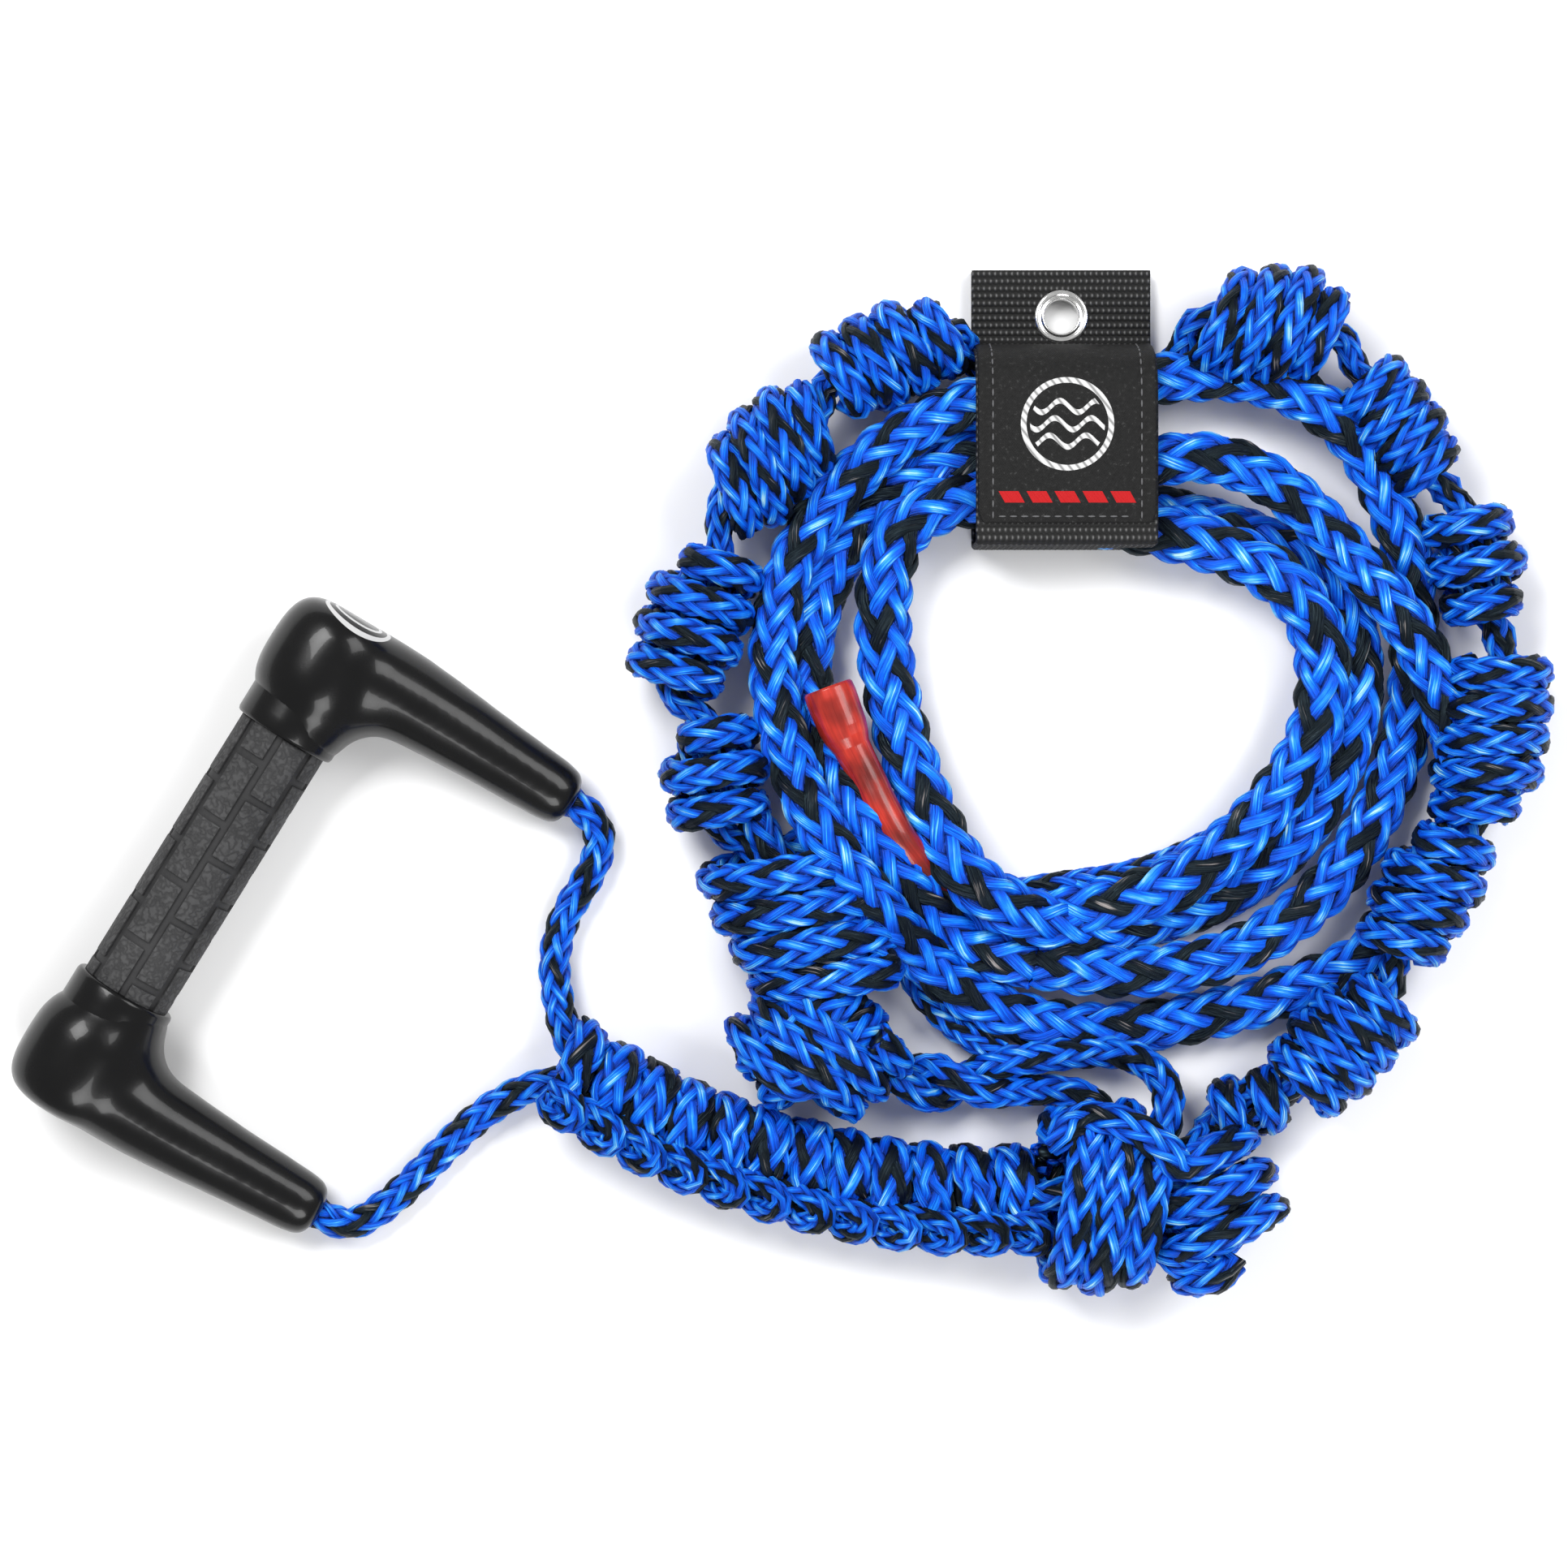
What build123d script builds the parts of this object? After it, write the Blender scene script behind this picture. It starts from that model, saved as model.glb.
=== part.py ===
"""Tow rope handle: a hard grip with two moulded end caps on a rope bridle, a woven
stretch of rope, a knotted rope and its coiled main line, held by a webbing strap.

Frame: +Y along the grip, +X from the grip towards the rope, +Z up, in millimetres.
The origin is on the ground under the middle of the handle's box.
"""
import math
import os

from build123d import *

# ---- driving dimensions of the handle ----
GRIP_X = -30.75           # grip axis, behind the origin
AXIS_Z = 17.5             # height of the grip axis: the knuckles lie on the ground
GRIP_R = 12.7             # one inch rubber sleeve
TUBE_R = 9.525            # three quarter inch tube
TUBE_WALL = 1.6
TUBE_HALF = 54.0
SLEEVE_HALF = 46.0        # half the rubber sleeve, 4 mm of it inside each collar
COLLAR_START, COLLAR_END = 42.0, 50.0
COLLAR_R = 15.0
KNUCKLE_START = 60.0      # the collar widens up to here
KNUCKLE_R = 17.5
KNUCKLE_EDGE, WAIST_EDGE = 11.0, 8.0
CAP_END = 81.5            # outer face of an end cap
LEG_LENGTH = 79.0         # from the grip axis to the tip
LEG_Y = 68.5              # centre line of a leg
TIP_R = 7.6
TIP_EDGE = 3.0
# ellipses along a leg: distance from the grip axis, side place, and two half widths
LEG_SECTIONS = [(-1.0, 68.0, 12.8, 15.2), (24.0, 69.3, 12.2, 12.4), (50.0, 69.0, 9.4, 9.4),
                (LEG_LENGTH, LEG_Y, TIP_R, TIP_R)]
LEG_TILT = 7.2            # degrees: the tips touch the ground too
FIT = 0.05                # gap of a glued or pressed fit
BUSHING_L, FLANGE_T = 16.0, 1.5

# ---- rope ----
ROPE_D = 9.4              # bridle and knotted rope
ROPE_PASSAGE_R = 5.2
BRIDLE_BEND = 13.5        # radius of the rope's turn inside a knuckle
WOVEN_D = 26.0
SPAN_D = 11.0             # rope between two knots
SPAN_SINK = 3.0           # how far a span runs into each knot
HIDDEN_SPANS = (1, 7)     # inside the knots themselves, and inside the strapped coil
KNOT_EDGE, BLOCK_EDGE = 0.42, 0.36    # rounding of a knot, as a share of its size
LEAD_D = 9.4
TWISTED_D = 17.0          # two strands twisted together

# each leg of the bridle starts along the axis of its cap's tip, for this length
FIRST_RUN = 5.6
UPPER_LEG_ROUTE = [(58.8, 65.3, 5.8), (62, 59, 5.0), (62.6, 50, 4.8), (62.5, 39.5, 4.8),
                   (66, 28, 4.8), (73, 19, 5.5), (82, 11.5, 9)]
LOWER_LEG_ROUTE = [(58.3, -65.6, 6.0), (61.6, -59.8, 5.2), (65, -50, 4.8), (68, -36, 4.8),
                   (71.5, -22, 4.8), (77, -9, 5.5), (84, -0.8, 9)]
WOVEN_ROUTE = [(84, 5, 13), (103, 4.5, 13), (123, 6.5, 13), (144, 11, 13),
               (165, 17, 13), (186, 25, 13), (205, 35, 13), (221, 46, 13)]

# knots of the outer ring: x, y, heading in degrees, length and radius of each
CHAIN_KNOTS = [
    (255, 96, 62, 25, 11.5),
    (267.5, 125, 80, 41, 15.5),
    (266, 173, 98, 42, 15.0),
    (258, 220, 115, 50, 16.5),
    (229, 260, 140, 36, 14.2),
    (190, 281, 160, 38, 13.8),
    (144, 286, 210, 40, 17.0),
    (57.5, 222.5, 238, 41, 15.0),
    (44, 181, 256, 40, 16.0),
    (50.5, 130, 283, 44, 16.0),
    (78, 96, 312, 34, 16.0),
]
BIG_KNOT = (119, 76, 328, 56, 46, 36)        # x, y, heading, length, width, height
BALL_KNOT = (143, 46, 335, 38, 46, 36)
STOPPER_KNOT = (244, 60, 32, 50, 60, 38)
TWISTED_LEAD = [(158, 48, 9), (174, 52.5, 9), (188.5, 62, 9), (202, 76, 9)]
LEAD_UPPER = [(203, 79, 8), (212, 88, 8), (224, 92, 10), (234, 90, 16), (238, 82, 22)]
LEAD_LOWER = [(204, 75, 8), (214, 75, 7), (224, 72, 9), (232, 68, 14)]
LEAD_THIN = [(146, 88, 6), (153, 78, 5), (165, 72.5, 5), (178, 70.5, 6), (189, 72, 8)]

# ---- coil and strap ----
COIL_X, COIL_Y, COIL_R = 158.6, 179.0, 96.0
COIL_LOW, COIL_HIGH = 1.5, 24.0
COIL_EDGE = 9.0
FOLD_ROOM = 4.0           # the coil stays this far along from the strap's fold
OPENING_X, OPENING_Y = 164.5, 167.5
OPENING_A, OPENING_B = 60.0, 48.0
STRAP_HEADING = 31.75     # degrees, the strap's width direction; the opening's too
STRAP_X, STRAP_Y = 128.4, 201.8       # middle of the strap's folded end
STRAP_W = 50.8            # two inch webbing
STRAP_L = 80.5
WEBBING = 1.3
PAD_T = 0.9
PAD_L = 15.5
LIFT = 0.3                # gap between the two bodies
HINGE_U, HINGE_Z = 1.1, 26.0
PAD_INSET = 2.0           # from a pad's edge to the webbing's edge
FRONT_BASE = WEBBING + PAD_T + LIFT + PAD_T
# the underside of the flap, from its hinge over the coil to its free end
FRONT_ROUTE = [(HINGE_U, HINGE_Z), (44, HINGE_Z), (52.5, 22.5), (56.0, 14), (57.0, 6),
               (57.9, FRONT_BASE), (STRAP_L, FRONT_BASE)]
# the inner face of the lower layer, from its free end to the top of the fold
BACK_ROUTE = [(STRAP_L, WEBBING), (3.2, WEBBING), (HINGE_U + WEBBING, 4.2),
              (HINGE_U + WEBBING, HINGE_Z - LIFT)]
LABEL_T = 0.5
LABEL_FROM, LABEL_TO = 7.0, 57.6
LABEL_MARGIN = 0.5        # from the label's edge to the webbing's edge
THREAD_T, THREAD_W = 0.3, 1.0
THREAD_FROM, THREAD_TO = 9.5, 55.2
THREAD_INSET = 4.2
EYELET_U = 67.2
EYELET_BORE_R = 4.8
EYELET_WALL = 0.55
EYELET_OUT_R = 7.65
FLANGE_H, FLANGE_EDGE = 0.9, 0.6
WASHER_T = 0.5
HOLE_GAP = 0.05           # between the eyelet's barrel and the webbing
RECESS_GAP = 0.3          # between the eyelet's rim and the pads
DRILL = 30.0              # length of a cutter that goes right through the strap
SLEEVE_OUT_R, COLLAR_OUT_R, SLEEVE_COLLAR_L = 5.4, 7.0, 15.0
SLEEVE_ROUTE = [(92, 133.5, 19), (106, 126.5, 18.5), (122, 117, 17.5), (139, 108.5, 16),
                (156, 101.5, 15)]


def axis_disc(radius, thickness, centre):
    """A disc whose middle line runs along Y."""
    return Pos(*centre) * (Rot(90, 0, 0) * Cylinder(radius, thickness))


def tube_path(points):
    """Straight runs joined by tangent arcs as large as the runs allow."""
    radii = []
    corners = [Vector(*p) for p in points]
    for before, here, after in zip(corners, corners[1:], corners[2:]):
        first, second = here - before, after - here
        turn = math.radians(first.get_angle(second))
        radii.append(0.45 * min(first.length, second.length) / math.tan(turn / 2))
    return FilletPolyline(*points, radius=radii), radii


def tube(name, points, diameter):
    """A plain rope along its route."""
    path, radii = tube_path(points)
    start = Plane(origin=path @ 0, z_dir=path % 0)
    solid = sweep(start * Circle(diameter / 2), path=path)
    expected = math.pi * diameter**2 / 4 * path.length
    print(f"{name}: length {path.length:.1f}, smallest arc {min(radii):.1f},"
          f" volume {solid.volume / expected:.3f} of section times length")
    return solid


def barrel(x, y, heading, length, radius):
    """A wrapped knot's plain outer shape, lying on the ground."""
    body = Rot(0, 90, 0) * Cylinder(radius, length)
    ends = body.edges().filter_by(GeomType.CIRCLE)
    body = fillet(ends, KNOT_EDGE * min(radius, length / 2))
    return Pos(x, y, radius) * Rot(0, 0, heading) * body


def block_knot(x, y, heading, length, width, height):
    """A large knot's plain outer shape."""
    body = Box(length, width, height)
    body = fillet(body.edges(), BLOCK_EDGE * min(length, width, height))
    return Pos(x, y, height / 2) * Rot(0, 0, heading) * body


def cap_shell():
    """The upper end cap's outer shape, about the grip axis and the tilted leg."""
    profile = Polyline((0, COLLAR_START), (COLLAR_R, COLLAR_START), (COLLAR_R, COLLAR_END),
                       (KNUCKLE_R, KNUCKLE_START), (KNUCKLE_R, CAP_END), (0, CAP_END),
                       close=True)
    face = make_face(profile)
    outer = face.vertices().sort_by_distance((KNUCKLE_R, CAP_END))[0]
    face = fillet(outer, KNUCKLE_EDGE)
    waist = face.vertices().filter_by_position(Axis.Y, COLLAR_END - 1, KNUCKLE_START + 1)
    face = fillet(waist, WAIST_EDGE)
    knuckle = revolve(face, Axis.Y)
    leg = loft([Plane(origin=(along, beside, 0), z_dir=(1, 0, 0)) * Ellipse(wide, high)
                for along, beside, wide, high in LEG_SECTIONS])
    tip = leg.edges().sort_by(Axis.X)[-1]
    leg = fillet(tip, TIP_EDGE)
    return knuckle + Rot(0, LEG_TILT, 0) * leg


def end_cap(side):
    """One hollow moulded cap: side is 1 for the upper and -1 for the lower."""
    shell = cap_shell()
    if side < 0:
        shell = mirror(shell, about=Plane.XZ)
    shell = Pos(GRIP_X, 0, AXIS_Z) * shell
    hollow = axis_disc(GRIP_R + FIT, 2 * (SLEEVE_HALF + FIT), (GRIP_X, 0, AXIS_Z))
    seat = axis_disc(TUBE_R + FIT, 2 * (TUBE_HALF + FLANGE_T + FIT), (GRIP_X, 0, AXIS_Z))
    passage, _ = inside_rope(ROPE_PASSAGE_R)
    return shell - hollow - seat - passage


def leg_point(side, along):
    """A point of a leg's tilted centre line."""
    tilt = math.radians(LEG_TILT)
    return (GRIP_X + along * math.cos(tilt), side * LEG_Y, AXIS_Z - along * math.sin(tilt))


def inside_rope(radius):
    """The bridle rope from tip to tip, through both caps and the tube."""
    points = [leg_point(1, LEG_LENGTH), leg_point(1, 0), leg_point(-1, 0),
              leg_point(-1, LEG_LENGTH)]
    path = FilletPolyline(*points, radius=BRIDLE_BEND)
    start = Plane(origin=path @ 0, z_dir=path % 0)
    return sweep(start * Circle(radius), path=path), path.length


def bushing(side):
    """A flanged liner that keeps the rope off the tube's end."""
    radius = TUBE_R - TUBE_WALL - FIT
    middle = (GRIP_X, side * (TUBE_HALF - BUSHING_L / 2), AXIS_Z)
    body = axis_disc(radius, BUSHING_L, middle)
    flange = axis_disc(TUBE_R, FLANGE_T, (GRIP_X, side * (TUBE_HALF + FLANGE_T / 2), AXIS_Z))
    bore = axis_disc(ROPE_PASSAGE_R, 2 * (TUBE_HALF + BUSHING_L), (GRIP_X, 0, AXIS_Z))
    return body + flange - bore


def handle_nodes():
    """The parts of the rigid handle."""
    centre = (GRIP_X, 0, AXIS_Z)
    outer = axis_disc(TUBE_R, 2 * TUBE_HALF, centre)
    inner = axis_disc(TUBE_R - TUBE_WALL, 2 * TUBE_HALF, centre)
    sleeve = axis_disc(GRIP_R, 2 * SLEEVE_HALF, centre)
    core = axis_disc(TUBE_R + FIT, 2 * SLEEVE_HALF, centre)
    rope, length = inside_rope(ROPE_D / 2)
    print(f"bridle_rope_inside: length {length:.1f}")
    return {
        "grip_tube": outer - inner,
        "rubber_grip": sleeve - core,
        "end_cap_upper": end_cap(1),
        "end_cap_lower": end_cap(-1),
        "tube_bushing_upper": bushing(1),
        "tube_bushing_lower": bushing(-1),
        "bridle_rope_inside": rope,
    }


def span_between(name, first, second):
    """The straight bit of rope that joins two neighbouring knots."""
    def end_of(knot, sign):
        x, y, heading, length, radius = knot
        reach = sign * (length / 2 - SPAN_SINK)
        turn = math.radians(heading)
        return Vector(x + reach * math.cos(turn), y + reach * math.sin(turn), radius)
    start, stop = end_of(first, 1), end_of(second, -1)
    way = stop - start
    plane = Plane(origin=start, z_dir=way)
    print(f"{name}: length {way.length:.1f}")
    return plane * extrude(Circle(SPAN_D / 2), way.length)


def rope_nodes():
    """The free rope, its knots and its coil."""
    nodes = {
        "stopper_knot": block_knot(*STOPPER_KNOT),
        "big_knot": block_knot(*BIG_KNOT),
        "ball_knot": block_knot(*BALL_KNOT),
    }
    for number, knot in enumerate(CHAIN_KNOTS, start=1):
        nodes[f"chain_knot_{number:02d}"] = barrel(*knot)
    nodes["twisted_lead"] = tube("twisted_lead", TWISTED_LEAD, TWISTED_D)
    nodes["lead_upper"] = tube("lead_upper", LEAD_UPPER, LEAD_D)
    nodes["lead_lower"] = tube("lead_lower", LEAD_LOWER, LEAD_D)
    nodes["lead_thin"] = tube("lead_thin", LEAD_THIN, LEAD_D)
    nodes["woven_section"] = tube("woven_section", WOVEN_ROUTE, WOVEN_D)
    for name, side, route in (("bridle_leg_upper", 1, UPPER_LEG_ROUTE),
                              ("bridle_leg_lower", -1, LOWER_LEG_ROUTE)):
        start = [leg_point(side, LEG_LENGTH), leg_point(side, LEG_LENGTH + FIRST_RUN)]
        nodes[name] = tube(name, start + route, ROPE_D)
    pairs = zip(CHAIN_KNOTS, CHAIN_KNOTS[1:])
    for number, (first, second) in enumerate(pairs, start=1):
        if number not in HIDDEN_SPANS:
            name = f"chain_span_{number:02d}"
            nodes[name] = span_between(name, first, second)
    nodes["rope_end_sleeve"] = end_sleeve()
    nodes["mainline_coil"] = coil()
    return nodes


def strap_place():
    """From the strap's own axes (across, along, up) to the frame."""
    return Pos(STRAP_X, STRAP_Y, 0) * Rot(0, 0, STRAP_HEADING)


def coil():
    """The outer shape of the strapped turns of main line."""
    height = COIL_HIGH - COIL_LOW
    ring = Pos(COIL_X, COIL_Y, 0) * Cylinder(COIL_R, height)
    ring = fillet(ring.edges().filter_by(GeomType.CIRCLE), COIL_EDGE)
    hole = Pos(OPENING_X, OPENING_Y, 0) * Rot(0, 0, STRAP_HEADING)
    hole = hole * extrude(Ellipse(OPENING_A, OPENING_B), height, both=True)
    ring = Pos(0, 0, COIL_LOW + height / 2) * (ring - hole)
    beside_fold = Box(STRAP_W + FOLD_ROOM, COIL_R, 2 * COIL_HIGH)
    beside_fold = Pos(0, FOLD_ROOM - COIL_R / 2, COIL_HIGH) * beside_fold
    return ring - strap_place() * beside_fold


def end_sleeve():
    """A thin plastic sleeve shrunk on the rope's end, with a wide collar."""
    path, _ = tube_path(SLEEVE_ROUTE)
    start = Plane(origin=path @ 0, z_dir=path % 0)
    body = sweep(start * Circle(SLEEVE_OUT_R), path=path)
    collar = start * extrude(Circle(COLLAR_OUT_R), SLEEVE_COLLAR_L)
    core = sweep(start * Circle(ROPE_D / 2), path=path)
    return body + collar - core


def webbing_layer(route, low, high, width):
    """A layer of the strap: a side profile, thickened from low to high off the route,
    and pushed out across the strap's width."""
    points = [Vector(u, z) for u, z in route]
    offsets = []
    for index, point in enumerate(points):
        ways = []
        if index:
            ways.append((point - points[index - 1]).normalized())
        if index < len(points) - 1:
            ways.append((points[index + 1] - point).normalized())
        normals = [Vector(-way.Y, way.X) for way in ways]
        total = normals[0] + normals[-1]
        offsets.append(total / (total.dot(normals[0])))
    lower = [(p + n * low) for p, n in zip(points, offsets)]
    upper = [(p + n * high) for p, n in zip(points, offsets)]
    outline = [(v.X, v.Y) for v in lower + upper[::-1]]
    face = make_face(Polyline(*outline, close=True))
    flat = extrude(face, width / 2, both=True)
    # profile axes u, z become the strap's along and up; its thickness lies across
    return strap_place() * (Plane.YZ.location * flat)


def along_route(route, start, stop):
    """The stretch of a route between two distances along the strap."""
    inside = [(u, z) for u, z in route if start < u < stop]

    def height(at):
        for (u0, z0), (u1, z1) in zip(route, route[1:]):
            if u0 <= at <= u1:
                return z0 + (z1 - z0) * (at - u0) / (u1 - u0)
        raise ValueError(at)
    return [(start, height(start)), *inside, (stop, height(stop))]


def pad(low):
    """A pad of hook or loop near the strap's free end, open round the eyelet."""
    route = [(STRAP_L - PAD_L, low), (STRAP_L - 1, low)]
    return webbing_layer(route, 0, PAD_T, STRAP_W - 2 * PAD_INSET) - through_eyelet(
        EYELET_OUT_R + RECESS_GAP)


def label_stitching():
    """The raised line of stitching, a narrow frame on the label."""
    width = STRAP_W - 2 * THREAD_INSET
    low = WEBBING + LABEL_T
    frame = webbing_layer(along_route(FRONT_ROUTE, THREAD_FROM, THREAD_TO), low,
                          low + THREAD_T, width)
    inside = along_route(FRONT_ROUTE, THREAD_FROM + THREAD_W, THREAD_TO - THREAD_W)
    return frame - webbing_layer(inside, WEBBING, low + 2 * THREAD_T, width - 2 * THREAD_W)


def strap_nodes():
    """The hook-and-loop strap round the coil: its lower layer and the opening flap."""
    hole = through_eyelet(EYELET_BORE_R + EYELET_WALL + HOLE_GAP)
    label_route = along_route(FRONT_ROUTE, LABEL_FROM, LABEL_TO)
    return {
        "strap_back": webbing_layer(BACK_ROUTE, 0, WEBBING, STRAP_W) - hole,
        "hook_pad": pad(WEBBING),
        "strap_front": webbing_layer(FRONT_ROUTE, 0, WEBBING, STRAP_W) - hole,
        "loop_pad": pad(FRONT_BASE - PAD_T),
        "label_patch": webbing_layer(label_route, WEBBING, WEBBING + LABEL_T,
                                     STRAP_W - 2 * LABEL_MARGIN),
        "label_stitching": label_stitching(),
        "eyelet": eyelet(),
        "eyelet_washer": eyelet_washer(),
    }


def flap_room():
    """The space above the flap's underside, which every rope keeps out of."""
    under = [(u - LIFT, z - LIFT) for u, z in FRONT_ROUTE[:-1]]
    base = FRONT_BASE - PAD_T - LIFT
    far, high = STRAP_L + 2, 3 * COIL_HIGH
    low = [(-2, HINGE_Z - LIFT), *under[:-1], (under[-1][0], base)]
    face = make_face(Polyline(*low, (far, base), (far, high), (-2, high), close=True))
    room = extrude(face, STRAP_W / 2 + 2 * LIFT, both=True)
    return strap_place() * (Plane.YZ.location * room)


def strap_room():
    """The space of the strap's lower layer and its rising fold."""
    width = STRAP_W + 1
    floor_part = Box(width, STRAP_L + 2, WEBBING + FIT)
    fold_part = Box(width, 2 * FOLD_ROOM, HINGE_Z)
    return strap_place() * (Pos(0, STRAP_L / 2, WEBBING / 2) * floor_part
                            + Pos(0, 0, HINGE_Z / 2) * fold_part)


def carved(nodes):
    """Each rope keeps out of the strap and of every rope listed before it, so that
    pressed ropes meet face to face."""
    rooms = [flap_room(), strap_room()]
    result = {}
    for name, solid in nodes.items():
        for other in [*rooms, *result.values()]:
            if overlaps(solid, other):
                solid = solid - other
        result[name] = max(solid.solids(), key=lambda piece: piece.volume)
    return result


def overlaps(first, second):
    """Whether two solids' boxes meet."""
    a, b = first.bounding_box(), second.bounding_box()
    return all(low <= high for low, high in (
        (a.min.X, b.max.X), (b.min.X, a.max.X), (a.min.Y, b.max.Y),
        (b.min.Y, a.max.Y), (a.min.Z, b.max.Z), (b.min.Z, a.max.Z)))


def eyelet_at(height):
    """A place on the eyelet's axis."""
    return strap_place() * Pos(0, EYELET_U, height)


def through_eyelet(radius):
    """A round cutter on the eyelet's axis, right through the strap."""
    return eyelet_at(FRONT_BASE) * Cylinder(radius, DRILL)


def eyelet():
    """The eyelet's barrel with its rolled flange on top of the webbing."""
    low, top = FRONT_BASE - 2 * LIFT, FRONT_BASE + WEBBING
    flange = eyelet_at(top + FLANGE_H / 2) * Cylinder(EYELET_OUT_R, FLANGE_H)
    rim = flange.edges().filter_by(GeomType.CIRCLE).sort_by(Axis.Z)[-1]
    flange = fillet(rim, FLANGE_EDGE)
    neck = eyelet_at((low + top) / 2) * Cylinder(EYELET_BORE_R + EYELET_WALL, top - low)
    return flange + neck - through_eyelet(EYELET_BORE_R)


def eyelet_washer():
    """The washer that the barrel is set against, under the webbing."""
    disc = eyelet_at(FRONT_BASE - WASHER_T / 2 - FIT) * Cylinder(EYELET_OUT_R, WASHER_T)
    return disc - through_eyelet(EYELET_BORE_R + EYELET_WALL + HOLE_GAP)


def main():
    os.makedirs("parts", exist_ok=True)
    handle, strap = handle_nodes(), strap_nodes()
    nodes = {**handle, **carved(rope_nodes()), **strap}
    for name, solid in nodes.items():
        export_step(solid, f"parts/{name}.step")
    print(len(nodes), "nodes")


main()
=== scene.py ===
"""Tow rope handle: rubber grip with glossy caps, rope bridle, woven section, knotted
rope, coiled main line and webbing strap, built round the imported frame."""
import math

import bpy
import numpy as np
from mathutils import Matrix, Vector


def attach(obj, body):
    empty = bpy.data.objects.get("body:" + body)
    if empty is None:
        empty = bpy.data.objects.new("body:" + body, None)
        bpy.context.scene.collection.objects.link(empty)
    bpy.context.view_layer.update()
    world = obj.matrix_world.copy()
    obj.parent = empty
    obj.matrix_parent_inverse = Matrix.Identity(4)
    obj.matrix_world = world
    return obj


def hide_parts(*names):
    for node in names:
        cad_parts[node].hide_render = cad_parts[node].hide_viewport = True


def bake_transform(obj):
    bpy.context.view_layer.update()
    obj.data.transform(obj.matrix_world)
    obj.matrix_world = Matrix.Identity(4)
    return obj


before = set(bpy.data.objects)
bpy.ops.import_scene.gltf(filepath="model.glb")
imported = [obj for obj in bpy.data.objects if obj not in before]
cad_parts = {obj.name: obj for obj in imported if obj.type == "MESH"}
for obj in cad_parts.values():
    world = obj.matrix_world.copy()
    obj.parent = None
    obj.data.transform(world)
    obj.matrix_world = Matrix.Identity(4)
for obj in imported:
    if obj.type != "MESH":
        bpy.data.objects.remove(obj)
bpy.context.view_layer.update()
MM = 0.001
TAU = 2 * math.pi

# ---------------------------------------------------------------- shader maths


class Value:
    """A number that varies over a surface: Python's signs add its Math nodes."""

    def __init__(self, finish, socket):
        self.finish, self.socket = finish, socket

    def _math(self, operation, *inputs):
        return self.finish.node("ShaderNodeMath", inputs, operation=operation)

    def __add__(self, other):
        return self._math("ADD", self, other)

    def __sub__(self, other):
        return self._math("SUBTRACT", self, other)

    def __rsub__(self, other):
        return self._math("SUBTRACT", other, self)

    def __mul__(self, other):
        return self._math("MULTIPLY", self, other)

    def __truediv__(self, other):
        return self._math("DIVIDE", self, other)

    def __gt__(self, other):
        return self._math("GREATER_THAN", self, other)

    __radd__, __rmul__ = __add__, __mul__

    def power(self, exponent):
        return self._math("POWER", self, exponent)

    def sine(self):
        return self._math("SINE", self)

    def absolute(self):
        return self._math("ABSOLUTE", self)

    def clamped(self):
        return self.finish.node("ShaderNodeClamp", (self, 0.0, 1.0))


class Finish:
    """A material being built on its Principled shader."""

    def __init__(self, name, **constants):
        self.material = bpy.data.materials.new(name)
        self.material.use_nodes = True
        self.nodes = self.material.node_tree.nodes
        self.links = self.material.node_tree.links
        self.shader = self.nodes["Principled BSDF"]
        for socket, value in constants.items():
            self.shader.inputs[socket.replace("_", " ")].default_value = value

    def node(self, kind, inputs=(), out=0, stops=None, **settings):
        """Any node: its settings first, then its inputs in order or by name."""
        made = self.nodes.new(kind)
        for key, value in settings.items():
            setattr(made, key, value)
        if stops:
            ramp = made.color_ramp
            while len(ramp.elements) < len(stops):
                ramp.elements.new(0.5)
            for element, (place, colour) in zip(ramp.elements, stops):
                element.position, element.color = place, colour
        pairs = inputs.items() if isinstance(inputs, dict) else enumerate(inputs)
        for key, value in pairs:
            self.feed(made.inputs[key], value)
        return Value(self, made.outputs[out])

    def feed(self, socket, value):
        """Links a value to a socket, or sets the socket to a constant."""
        if isinstance(value, Value):
            self.links.new(value.socket, socket)
        elif value is not None:
            socket.default_value = value

    def set(self, socket, value):
        self.feed(self.shader.inputs[socket], value)

    def mix(self, factor, first, second):
        """A colour between two others."""
        return self.node("ShaderNodeMix", {0: factor, 6: first, 7: second}, out=2,
                         data_type="RGBA")

    def ramp(self, value, stops):
        return self.node("ShaderNodeValToRGB", (value,), stops=stops)

    def noise(self, vector, scale, detail=2.0, roughness=0.5):
        return self.node("ShaderNodeTexNoise", {"Vector": vector, "Scale": scale,
                         "Detail": detail, "Roughness": roughness})

    def bump(self, height, distance, strength=1.0, normal=None):
        return self.node("ShaderNodeBump", {"Height": height, "Distance": distance,
                         "Strength": strength, "Normal": normal})

    def coordinates(self, out="Object"):
        return self.node("ShaderNodeTexCoord", out=out)

    def parts_of(self, vector):
        """The three numbers of a vector."""
        made = self.nodes.new("ShaderNodeSeparateXYZ")
        self.feed(made.inputs[0], vector)
        return [Value(self, socket) for socket in made.outputs]

    def vector(self, x, y, z=0.0):
        return self.node("ShaderNodeCombineXYZ", (x, y, z))

    def attribute(self, name):
        return self.node("ShaderNodeAttribute", out="Fac", attribute_name=name)


def grey(value):
    return (value, value, value, 1)


# ---------------------------------------------------------------- materials

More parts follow.
